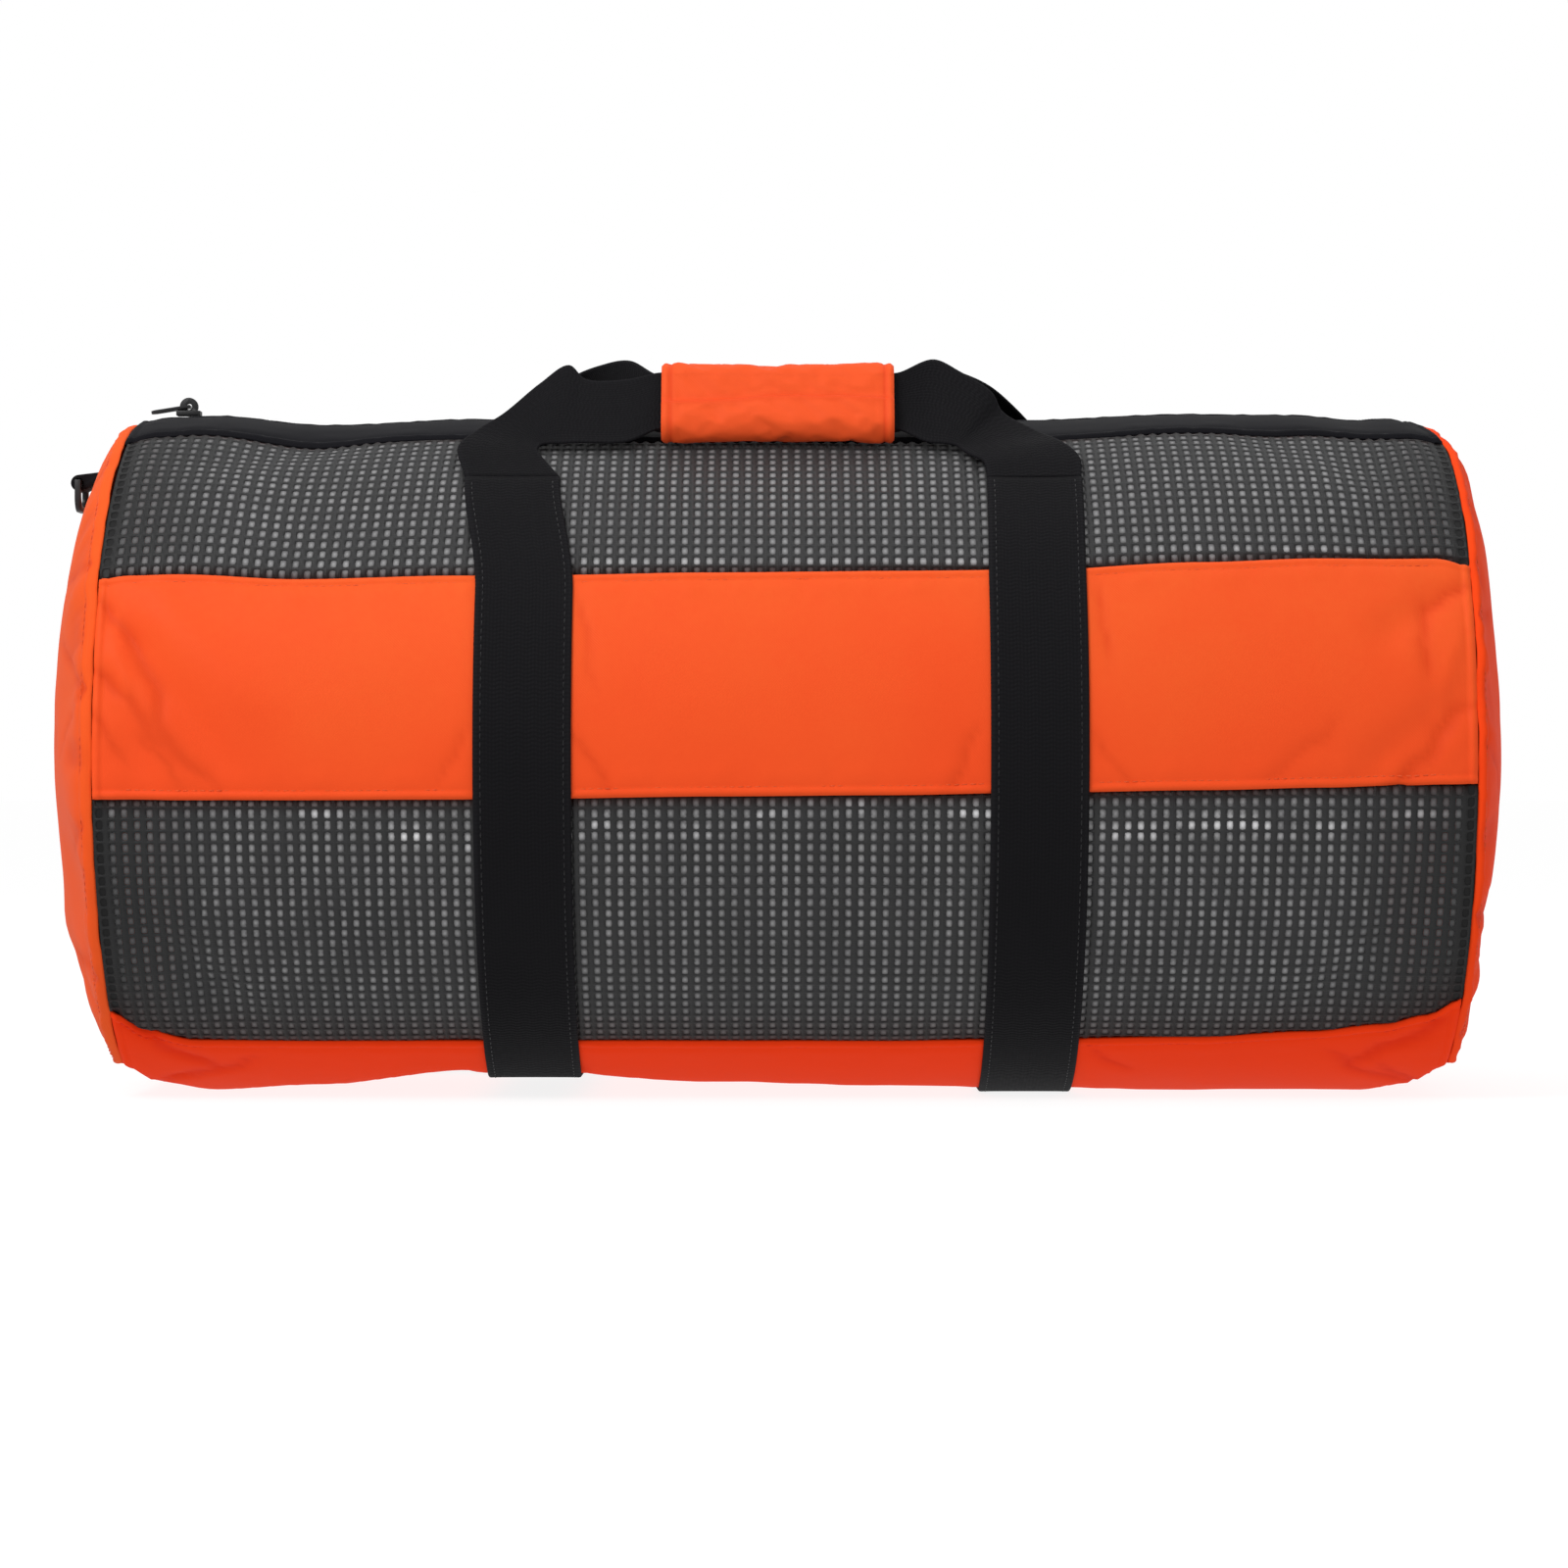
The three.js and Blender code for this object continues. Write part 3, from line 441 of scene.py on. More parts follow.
def make_mesh(name, points, faces, uv=None, marks=None, finish=None, body="bag"):
    """A smooth-shaded object from points and a list of face arrays, turned outwards by the sign
    of its volume. uv and the named marks are values at the points."""
    points = np.asarray(points, float).reshape(-1, 3)
    volume = 0.0
    for group in faces:
        corners = points[group]
        for k in range(1, group.shape[1] - 1):
            volume += np.einsum("ij,ij->", corners[:, 0], np.cross(corners[:, k], corners[:, k + 1]))
    if volume < 0:
        faces = [group[:, ::-1] for group in faces]
    loops = np.concatenate([group.ravel() for group in faces]).astype(np.int32)
    totals = np.concatenate([np.full(len(group), group.shape[1]) for group in faces])
    mesh = bpy.data.meshes.new(name)
    mesh.vertices.add(len(points))
    mesh.vertices.foreach_set("co", points.astype(np.float32).ravel())
    mesh.loops.add(len(loops))
    mesh.loops.foreach_set("vertex_index", loops)
    mesh.polygons.add(len(totals))
    starts = np.cumsum(totals) - totals
    mesh.polygons.foreach_set("loop_start", starts.astype(np.int32))
    mesh.polygons.foreach_set("loop_total", totals.astype(np.int32))
    mesh.polygons.foreach_set("use_smooth", np.ones(len(totals), bool))
    if uv is not None:
        layer = mesh.uv_layers.new(name="cloth")
        layer.data.foreach_set("uv", np.asarray(uv, np.float32).reshape(-1, 2)[loops].ravel())
    for mark, values in (marks or {}).items():
        attribute = mesh.attributes.new(mark, "FLOAT", "POINT")
        attribute.data.foreach_set("value", np.asarray(values, np.float32).ravel())
    mesh.update(calc_edges=True)
    made = bpy.data.objects.new(name, mesh)
    bpy.context.scene.collection.objects.link(made)
    if finish is not None:
        mesh.materials.append(finish)
    if body:
        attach(made, body)
    return made


def grid_quads(rows, columns, first=0, wrap=False):
    """Quads of a grid of points, counted row by row from first."""
    i, j = np.meshgrid(np.arange(rows - 1), np.arange(columns if wrap else columns - 1), indexing="ij")
    k = (j + 1) % columns
    a, b = first + i * columns + j, first + i * columns + k
    c, d = first + (i + 1) * columns + k, first + (i + 1) * columns + j
    return np.stack([a, b, c, d], axis=-1).reshape(-1, 4)


def shell(outer, inner, wrap=False):
    """Points and quads of a closed wall between two grids, joined along their borders."""
    rows, columns = outer.shape[:2]
    count = rows * columns
    faces = [grid_quads(rows, columns, 0, wrap), grid_quads(rows, columns, count, wrap)[:, ::-1]]
    index = np.arange(count).reshape(rows, columns)
    borders = [(index[0], False), (index[-1], True)]
    if not wrap:
        borders += [(index[:, 0], True), (index[:, -1], False)]
    for border, turned in borders:
        line = np.append(border, border[0]) if wrap else border
        quads = np.stack([line[:-1], line[:-1] + count, line[1:] + count, line[1:]], axis=-1)
        faces.append(quads[:, ::-1] if turned else quads)
    points = np.concatenate([outer.reshape(-1, 3), inner.reshape(-1, 3)])
    return points, faces


def cloth_shell(name, outer, inner, uv, marks, node, finish, wrap=False, pole=False):
    """A cloth piece as a closed wall, whose two sides carry the same map and marks. It stands for
    its CAD node. With a pole, the last rows shrink to points and need no border between them."""
    points, faces = shell(outer, inner, wrap)
    both = {mark: np.concatenate([values, values]) for mark, values in marks.items()}
    faces = faces[:-1] if pole else faces
    piece = make_mesh(name, points, faces, np.concatenate([uv, uv]), both, finish)
    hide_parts(node)
    return piece


def spaced(length, near, step):
    """Distances from 0 to length: the given ones near both ends, and even steps between them."""
    near = np.array([0.0, *near])
    middle = np.linspace(near[-1], length - near[-1], max(2, round((length - 2 * near[-1]) / step) + 1))
    return np.concatenate([near[:-1], middle, (length - near[:-1])[::-1]])


# Steps of the cloth's grids, and their places near seams and hems
CLOTH_STEP = 0.0030
PLAIN_STEP = 0.0045
END_STEP = 0.0050
END_TURN_STEP = 1.25
LIP_STEPS = (0.0004, 0.0009, 0.0015, 0.0022, 0.0030, 0.0039, 0.0048, 0.0060, 0.0075)
HEM_STEPS = (0.0004, 0.0010, 0.0018, 0.0028, 0.0040, 0.0052, 0.0066)


def lip(distance, along, seed):
    """Lift of a folded seam edge: it rolls under at the very edge, puckers unevenly behind it, and
    dips where the stitches pull it in."""
    pucker = 1 + 0.55 * wander(along * 420, seed)
    roll = -0.0011 * bell(distance / 0.0008)
    crest = 0.00065 * pucker * bell((distance - 0.0026) / 0.0015)
    stitched = -0.00035 * bell((distance - 0.0050) / 0.0009)
    slack = 0.0005 * (0.6 + wander(along * 160, seed + 1)) * bell((distance - 0.010) / 0.005)
    return roll + crest + stitched + slack


def seam_angles(x, panel):
    """Lower and upper seam of a panel on the front half, at x, in degrees."""
    half_gap = math.degrees(SEAM_GAP / 2 / sizes().half_width)
    zip_edge = np.degrees(np.arccos(ZIP_OPEN_WIDTH / 2 / (sizes().half_width * section(x, "girth"))))
    lines = {
        "bottom": (-180 - section(x, "low_seam"), section(x, "low_seam")),
        "net_lower": (section(x, "low_seam"), section(x, "band_low")),
        "band": (section(x, "band_low"), section(x, "band_high")),
        "net_upper": (section(x, "band_high"), section(x, "net_high")),
        "top": (section(x, "net_high"), zip_edge),
    }
    low, high = lines[panel]
    return low + half_gap, high - (0 if panel == "top" else half_gap)


def cloth_panel(name, panel, back, node, finish, seed, step=CLOTH_STEP, creased=True):
    """A cloth panel as a grid: stations along the bag by places round it, both close together at
    the seams. Its outside is the skin plus seam lips less fine creases, and its inside lies the
    cloth's thickness below."""
    radius = sizes().half_width
    seam = sizes().half_length - SEAM_GAP / 2
    x = spaced(2 * seam, LIP_STEPS, step) - seam
    low, high = seam_angles(x, panel)
    width = np.radians(high - low) * radius
    mean = float(width.mean())
    share = spaced(mean, LIP_STEPS, step) / mean
    angle = low[:, None] + (high - low)[:, None] * share[None, :]
    stations = np.broadcast_to(x[:, None], angle.shape)
    from_low, from_high = share[None, :] * width[:, None], (1 - share)[None, :] * width[:, None]
    from_end = seam - np.abs(stations)
    free = 1 - under_strap(stations, 180 - angle if back else angle)
    lift = lip(from_low, stations, seed) + lip(from_high, stations, seed + 2)
    lift = lift + lip(from_end, np.radians(angle) * radius, seed + 4)
    lift = np.maximum(lift, -0.0013)
    lift = np.where(lift > 0, lift * free, lift)
    crease = np.zeros(angle.shape)
    if creased:
        fine = furrows(CREASES, stations, 180 - angle if back else angle, sharp=True)
        ripple = 0.0004 * wander(stations * 62 + angle * 0.11, seed) * wander(angle * 0.21, seed + 3)
        lift = lift + np.minimum(ripple * free - fine, 0.0012 * free + 0.0001)
        # The crease mark is painted shade: the cloth's colour darkens and reddens along the creases
        crease = np.clip(fine / 0.0012, 0, 1)
    if back:
        angle = 180 - angle
    outer = skin(stations, angle, lift)
    inner = skin(stations, angle, lift - CLOTH_THICKNESS)
    uv = np.stack([stations, np.radians(angle) * radius], axis=-1)
    worn = bell(np.minimum(np.minimum(from_low, from_high), from_end) / 0.0022)
    return cloth_shell(name, outer, inner, uv, {"edge": worn, "crease": crease}, node, finish)


def net_panel(name, panel, back, node, finish):
    """A net as cells of 8 rim points round a true hole and 8 points on the cell's border. Ribs
    along the section stand proud, the bridges between holes are thinner, and rows that pass a
    slanting seam are tucked in behind the cloth. A scrim of its own fills the holes, as a fan of
    triangles in each."""
    s = sizes()
    radius, seam = s.half_width, s.half_length - SEAM_GAP / 2
    edges = seam_angles(np.linspace(-seam, seam, 200), panel)
    low, high = edges[0].min(), edges[1].max()
    columns = round(2 * seam / s.net_pitch_along)
    stretch = 1.06 if panel == "net_upper" else 1.0
    rows = round(math.radians(high - low) * radius / (s.net_pitch_round * stretch))
    pitch_u, pitch_v = 1 / columns, 1 / rows
    half_u = s.hole_width / 2 / (2 * seam)
    half_v = s.hole_height * stretch / 2 / (math.radians(high - low) * radius)

    def placed(u, v, rib):
        """Cell space to the bag: rib is how far the place stands proud, as a share. Gives the outer
        and inner points, both map values, how much painted shade it takes near a seam, and how much
        painted glint it takes."""
        angle = low + (high - low) * v
        x = seam * (2 * u - 1)
        lean = 0.006 if panel == "net_upper" else 0.0
        x = x + lean * v * bell((x + 0.25) / 0.1) - lean * 0.3 * v * bell((x - 0.26) / 0.08)
        seam_low, seam_high = seam_angles(x, panel)
        beyond = np.radians(np.maximum(seam_low - angle, angle - seam_high)) * radius
        sunk = 0.0004 + 0.0019 * smooth((beyond + 0.0018) / 0.0030)
        at = 180 - angle if back else angle
        free = 1 - under_strap(x, at)
        slack = 0.0008 * wander(x * 24 + angle * 0.09) * wander(angle * 0.13 + 1.1, 2) * free
        middle = -sunk - 0.00075 + np.minimum(slack, 0.0004)
        half = 0.00032 + 0.00036 * rib
        above = np.maximum(np.radians(angle - seam_low) * radius, 0)
        # Painted shade: near is strongest where the net tucks under a seam, and on the lower net it also
        # darkens the rows above the bottom seam
        near = bell(np.maximum(-beyond, 0) / 0.0042)
        near = np.maximum(near, 0.75 * bell(above / 0.021)) if panel == "net_lower" else near
        # Painted glint: a row of the upper net just above the band is marked to be painted pale
        shine = bell((above - 0.0050) / 0.0030) if panel == "net_upper" else 0.0 * above
        return (skin(x, at, middle + half), skin(x, at, middle - half), x, np.radians(at) * radius,
                near, shine)

    i, j = np.meshgrid(np.arange(rows + 1), np.arange(columns + 1), indexing="ij")
    corner = placed(j * pitch_u, i * pitch_v, 0.75)
    i, j = np.meshgrid(np.arange(rows + 1), np.arange(columns), indexing="ij")
    bridge = placed((j + 0.5) * pitch_u, i * pitch_v, 0.25)
    i, j = np.meshgrid(np.arange(rows), np.arange(columns + 1), indexing="ij")
    rib = placed(j * pitch_u, (i + 0.5) * pitch_v, 1.0)
    turn = np.radians(np.array([-135, -90, -45, 0, 45, 90, 135, 180]))
    squared = (np.abs(np.cos(turn)) ** 4 + np.abs(np.sin(turn)) ** 4) ** (-1 / 4)
    i, j, k = np.meshgrid(np.arange(rows), np.arange(columns), np.arange(8), indexing="ij")
    rim = placed(
        (j + 0.5) * pitch_u + half_u * (squared * np.cos(turn))[k],
        (i + 0.5) * pitch_v + half_v * (squared * np.sin(turn))[k],
        0.0,
    )
    groups = (corner, bridge, rib, rim)
    starts = np.cumsum([0] + [group[2].size for group in groups])
    count = int(starts[-1])
    c, b, r, h = (
        start + np.arange(group[2].size).reshape(group[2].shape) for start, group in zip(starts, groups))
    border = np.stack([
        c[:-1, :-1], b[:-1, :], c[:-1, 1:], r[:, 1:], c[1:, 1:], b[1:, :], c[1:, :-1], r[:, :-1],
    ], axis=-1).reshape(-1, 8)
    hole = h.reshape(-1, 8)
    border_next, hole_next = np.roll(border, -1, axis=1), np.roll(hole, -1, axis=1)
    front = np.stack([border, border_next, hole_next, hole], axis=-1).reshape(-1, 4)
    walls = np.stack([hole, hole_next, hole_next + count, hole + count], axis=-1).reshape(-1, 4)
    faces = [front, front[:, ::-1] + count, walls]
    rims = (
        np.stack([c[0, :-1], b[0], c[0, 1:]], axis=-1),
        np.stack([c[-1, 1:], b[-1], c[-1, :-1]], axis=-1),
        np.stack([c[1:, 0], r[:, 0], c[:-1, 0]], axis=-1),
        np.stack([c[:-1, -1], r[:, -1], c[1:, -1]], axis=-1),
    )
    for line in rims:
        for here, after in ((line[:, 0], line[:, 1]), (line[:, 1], line[:, 2])):
            faces.append(np.stack([after, here, here + count, after + count], axis=-1))
    outer = np.concatenate([group[0].reshape(-1, 3) for group in groups])
    inner = np.concatenate([group[1].reshape(-1, 3) for group in groups])
    uv = np.concatenate([np.stack([g[2].ravel(), g[3].ravel()], axis=-1) for g in groups])
    near = np.concatenate([group[4].ravel() for group in groups])
    marks = {"edge": np.concatenate([near, near])}
    piece = make_mesh(name, np.concatenate([outer, inner]), faces, np.concatenate([uv, uv]), marks,
                      finish)
    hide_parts(node)
    first, holes = h.min(), len(hole)
    shine = groups[3][5].ravel()

    def with_middles(values):
        """Values at the holes' rims, and their mean for each hole after them."""
        return np.concatenate([values, values[hole - first].mean(axis=1)])

    marks = {"edge": with_middles(near[first:]), "shine": with_middles(shine),
             "middle": np.concatenate([np.zeros(holes * 8), np.ones(holes)])}
    centre = np.broadcast_to((holes * 8 + np.arange(holes))[:, None], (holes, 8))
    fan = np.stack([hole - first, hole_next - first, centre], axis=-1).reshape(-1, 3)
    make_mesh(name + "_scrim", with_middles((outer[first:] + inner[first:]) / 2), [fan],
              with_middles(uv[first:]), marks, finish_for("scrim"))
    return piece


def end_point(end, angle, out, lift, fine=0.0):
    """Point on a domed end: the rim's point drawn in by the share out and pushed out along X by
    (1 - out squared) to the power 0.6, less the dents and a fine lift."""
    s = sizes()
    rim = skin(np.full(np.shape(angle), end * s.half_length), angle, lift) - SHIFT
    share = np.maximum(1 - out * out, 0) ** 0.6
    for i in np.flatnonzero(END_DENTS["end"] == end):
        turn = np.radians(angle - END_DENTS["angle"][i])
        away = np.hypot(out * np.cos(turn) - END_DENTS["out"][i], out * np.sin(turn))
        dent = END_DENTS["depth"][i] * bell(away / END_DENTS["half_width"][i])
        share = share - dent * smooth((1 - out) * 8)
    bulge = s.left_bulge if end < 0 else s.right_bulge
    domed = end * (SEAM_GAP / 2 + (bulge + lift) * share + fine)
    x = end * s.half_length + (rim[..., 0] - end * s.half_length) * out * out + domed
    z = s.axis_height + (rim[..., 2] - s.axis_height) * out
    return np.stack([x, rim[..., 1] * out, z], axis=-1) + SHIFT


def end_furrows(end, angle, out):
    """Depth of an end panel's creases: a peak across each line, fading out at its inner end."""
    radius = sizes().half_width
    across, up = out * np.cos(np.radians(angle)) * radius, out * np.sin(np.radians(angle)) * radius
    depth = np.zeros(np.shape(across))
    for i in np.flatnonzero(END_CREASES["end"] == end):
        ends = []
        for place in ("from", "to"):
            turn, share = math.radians(END_CREASES[place + "_angle"][i]), END_CREASES[place + "_out"][i]
            ends.append(np.array([math.cos(turn), math.sin(turn)]) * share * radius)
        t, beside, _ = beside_line(across, up, *ends)
        aside = beside / END_CREASES["half_width"][i] + 1.2 * wander(4.0 * t + 1.7 * i, i)
        fade = smooth(4 * t + 1) * smooth(1.6 * (1 - t) + 0.4)
        depth += END_CREASES["depth"][i] * sharp_peak(aside) * fade
    return depth


def end_panel(name, end, node, finish, seed):
    """A domed end as rings drawn in to its middle. Short pleats and creases run in from the rim,
    broad waves cross it, and the rim rolls under at its seam."""
    radius = sizes().half_width
    inward = np.concatenate([[0.0], LIP_STEPS, np.arange(0.010, radius - 0.002, END_STEP), [radius]])
    out = 1 - inward / radius
    angle = np.arange(-90.0, 270.0, END_TURN_STEP)
    share, turned = np.meshgrid(out, angle, indexing="ij")
    distance = (1 - share) * radius
    around = np.radians(turned) * radius
    rim_lift = np.maximum(lip(distance, around, seed), -0.0013)
    pleats = 0.0022 * wander(around * 95, seed + 3) * bell((distance - 0.016) / 0.014)
    broad = 0.0030 * wander(around * 14, seed + 5) * wander(distance * 40, seed) * smooth(distance / 0.03)
    broad = broad * smooth(share * 1.5)
    lines = end_furrows(end, turned, share) * smooth(distance / 0.003)
    fine = rim_lift * smooth(distance / 0.004) + pleats + broad - lines - 0.001 * smooth(distance / 0.01)
    fine = fine * smooth(share * 8)
    sunk = np.where(distance < 0.004, rim_lift, 0.0)
    outer = end_point(end, turned, share, sunk, fine)
    inner = end_point(end, turned, share, sunk - CLOTH_THICKNESS, fine)
    turn = np.radians(turned)
    uv = np.stack([share * np.cos(turn), share * np.sin(turn)], axis=-1) * radius
    # The crease mark is painted shade along the creases and in the pleats' hollows
    crease = np.clip(lines / 0.0016 - (pleats + 0.5 * broad) / 0.0020, 0, 1)
    marks = {"edge": bell(distance / 0.0022), "crease": crease}
    piece = cloth_shell(name, outer, inner, uv, marks, node, finish, wrap=True, pole=True)
    close_poles(piece)
    return piece


def close_poles(piece):
    """Merges the points that meet at a pole and drops the faces that vanish there."""
    work = bmesh.new()
    work.from_mesh(piece.data)
    bmesh.ops.remove_doubles(work, verts=work.verts, dist=2e-6)
    bmesh.ops.recalc_face_normals(work, faces=work.faces)
    work.to_mesh(piece.data)
    work.free()


def webbing_profile():
    """Section of the webbing: 24 places across it and through it, with round selvedges and a flat
    that is a little thinner than they are. Across is -1 to 1, through is -1 to 1."""
    across = np.array([-0.975, -0.93, -0.88, -0.7, -0.4, 0.0, 0.4, 0.7, 0.88, 0.93, 0.975, 1.0])
    through = np.array([0.8, 1.0, 0.94, 0.88, 0.86, 0.85, 0.86, 0.88, 0.94, 1.0, 0.8, 0.0])
    across = np.concatenate([across, -across])
    through = np.concatenate([through, -through])
    return across, through


def ribbon(name, surface, stations, node, finish, thickness=WEBBING_THICKNESS):
    """Webbing carried along a path: at each station its profile is laid on the surface, whose
    arguments are the station, the place across and the height off its middle. Without a node it
    stands for no CAD piece."""
    across, through = webbing_profile()
    station, u = np.meshgrid(stations, across, indexing="ij")
    h = np.broadcast_to(through * thickness / 2, u.shape)
    rings = surface(station, u, h)
    rows, columns = u.shape
    faces = [grid_quads(rows, columns, wrap=True)]
    index = np.arange(rows * columns).reshape(rows, columns)
    faces += [index[:1][:, ::-1], index[-1:]]
    middle = rings.mean(axis=1)
    travelled = np.concatenate([[0], np.cumsum(np.linalg.norm(np.diff(middle, axis=0), axis=1))])
    uv = np.stack([u * sizes().webbing_width / 2, np.broadcast_to(travelled[:, None], u.shape)], axis=-1)
    worn = np.broadcast_to(smooth((np.abs(u) - 0.85) / 0.15), u.shape)
    piece = make_mesh(name, rings, faces, uv, {"edge": worn}, finish)
    if node:
        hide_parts(node)
    return piece


def catmull_rom(points, t):
    """Centripetal Catmull-Rom curve through the points, at shares t of its spans, with the first
    and last spans reflected past the ends."""
    points = np.asarray(points, float)
    ends = np.concatenate([[2 * points[0] - points[1]], points, [2 * points[-1] - points[-2]]])
    place = np.clip(t, 0, 1) * (len(points) - 1)
    span = np.minimum(place.astype(int), len(points) - 2)
    w = (place - span)[:, None]
    p0, p1, p2, p3 = (ends[span + k] for k in range(4))
    d0, d1, d2 = (np.maximum(np.linalg.norm(b - a, axis=1), 1e-6)[:, None] ** 0.5
                  for a, b in ((p0, p1), (p1, p2), (p2, p3)))
    t1 = ((p1 - p0) / d0 - (p2 - p0) / (d0 + d1) + (p2 - p1) / d1) * d1
    t2 = ((p2 - p1) / d1 - (p3 - p1) / (d1 + d2) + (p3 - p2) / d2) * d1
    return (p1 + t1 * w + (-3 * p1 + 3 * p2 - 2 * t1 - t2) * w ** 2
            + (2 * p1 - 2 * p2 + t1 + t2) * w ** 3)


def grip_axes():
    """Middle, up and forward of the grip's section."""
    lean = math.radians(GRIP_LEANS_BACK)
    up = np.array([0, math.sin(lean), math.cos(lean)])
    forward = np.array([0, -up[2], up[1]])
    seat = GRIP_DEPTH / 2 + GRIP_FLAP + SEAM_GAP
    middle = skin(GRIP_CENTRE, GRIP_ANGLE, seat) + up * (GRIP_HEIGHT - GRIP_DEPTH) / 2
    return middle, up, forward


def grip_point(x, forward_by, up_by):
    """Point of the grip's section at x, by distances forward and up from its middle."""
    middle, up, forward = grip_axes()
    point = middle + np.multiply.outer(forward_by, forward) + np.multiply.outer(up_by, up)
    point[..., 0] = x + SHIFT[0]
    return point


def handle_edges(which, side):
    """Edge points of one half of a handle, from the strap's end to the grip's mouth."""
    rows = HANDLES[which, side]
    width = sizes().webbing_width
    half = width / 2
    strap_at, sign = STRAPS_AT[side], (-1 if side == "left" else 1)
    mouth = GRIP_CENTRE + sign * GRIP_LENGTH / 2
    span = strap_at - mouth
    front = which == "front"
    start_angle = STRAP_TOP_ANGLE + math.degrees(SEAM_GAP / sizes().half_width)
    start_angle = start_angle if front else 180 - start_angle
    shift = float(strap_shift(side, STRAP_TOP_ANGLE)) if front else 0.0
    lift = SEAM_GAP + WEBBING_THICKNESS / 2
    edges = []
    for edge, offset in (("out", sign * half), ("in", -sign * half)):
        start = skin(strap_at + offset, start_angle, lift) + np.array([shift, 0, 0])
        x = mouth + rows[edge + "_along"] * span
        edges.append(np.vstack([start, skin(x, rows[edge + "_angle"], rows[edge + "_lift"] * width)]))
    return edges


def handle(name, which, node, finish):
    """A handle as webbing ruled between two edge curves, narrowed where it runs through the grip."""
    out_left, in_left = handle_edges(which, "left")
    out_right, in_right = handle_edges(which, "right")
    forward = (1 if which == "front" else -1) * (WEBBING_THICKNESS / 2 + SEAM_GAP)
    half_in_grip = GRIP_HEIGHT / 2 - GRIP_WALL - GRIP_CLEARANCE
    x = GRIP_CENTRE + np.array([-1.03, -0.9, 0.9, 1.03]) * GRIP_LENGTH / 2
    through = [grip_point(x, np.full(4, forward), np.full(4, up)) for up in (half_in_grip, -half_in_grip)]
    upper = np.vstack([out_left, through[0], out_right[::-1]])
    lower = np.vstack([in_left, through[1], in_right[::-1]])
    stations = np.linspace(0, 1, 10 * (len(upper) - 1) + 1)
    top, bottom = catmull_rom(upper, stations), catmull_rom(lower, stations)
    along = np.gradient(top + bottom, axis=0)
    normal = np.cross(along, bottom - top)
    normal = normal / np.linalg.norm(normal, axis=1)[:, None]

    def surface(station, u, h):
        k = np.rint(station * (len(stations) - 1)).astype(int)
        middle = (top[k] + bottom[k]) / 2 + (bottom[k] - top[k]) / 2 * (u * 0.99)[..., None]
        return middle + normal[k] * h[..., None]

    return ribbon(name, surface, stations, node, finish)


def grip_outline(half_depth, half_height, flap, count=24):
    """Outline of a flat sleeve with round ends, and a flap over its lower front whose edge is a
    step just below the middle. Forward and up for each place."""
    arc_centre = half_height - half_depth
    rise = np.radians(np.linspace(0, 180, count))
    fall = np.radians(np.linspace(180, 360, count))
    thick = half_depth + flap * smooth((np.degrees(fall) - 200) / 80)
    edge = -0.1 * half_height
    proud = half_depth + flap
    forward = [
        half_depth * np.cos(rise), np.full(8, -half_depth), thick * np.cos(fall), np.full(8, proud),
        np.array([proud, half_depth + flap * 0.45, half_depth]), np.full(7, half_depth),
    ]
    up = [
        arc_centre + half_depth * np.sin(rise), np.linspace(arc_centre, -arc_centre, 10)[1:-1],
        -arc_centre + thick * np.sin(fall), np.linspace(-arc_centre, edge - 0.0006, 10)[1:-1],
        np.array([edge - 0.0006, edge + 0.0001, edge + 0.0004]),
        np.linspace(edge + 0.0004, arc_centre, 9)[1:-1],
    ]
    return np.concatenate(forward), np.concatenate(up)


def puffed(points, held, growth=0.012, pressure=4.0, frames=20, reach=0.0032):
    """A tube of cloth, as rings of points, after it has filled out: it is cut larger by the growth,
    blown up by the pressure, kept where held is 1 and moved no further than the reach."""
    rows, columns = points.shape[:2]
    cloth = make_mesh("filling", points, [grid_quads(rows, columns, wrap=True)], body=None)
    group = cloth.vertex_groups.new(name="held")
    for index in range(rows * columns):
        group.add([index], float(held.ravel()[index]), "REPLACE")
    modifier = cloth.modifiers.new("cloth", "CLOTH")
    settings = modifier.settings
    settings.quality = 6
    settings.mass = 0.2
    settings.tension_stiffness = settings.compression_stiffness = 12
    settings.shear_stiffness = 5
    settings.bending_stiffness = 0.4
    settings.vertex_group_mass = "held"
    settings.use_pressure = True
    settings.uniform_pressure_force = pressure
    settings.shrink_min = -growth
    settings.effector_weights.gravity = 0
    modifier.collision_settings.use_collision = False
    modifier.point_cache.frame_start, modifier.point_cache.frame_end = 1, frames
    scene = bpy.context.scene
    for step in range(1, frames + 1):
        scene.frame_set(step)
    settled = cloth.evaluated_get(bpy.context.evaluated_depsgraph_get()).data
    after = np.empty(rows * columns * 3, np.float32)
    settled.vertices.foreach_get("co", after)
    moved = after.reshape(points.shape) - points
    scene.frame_set(1)
    bpy.data.meshes.remove(cloth.data)
    distance = np.linalg.norm(moved, axis=-1, keepdims=True)
    return points + moved * np.minimum(1, reach / np.maximum(distance, 1e-9))


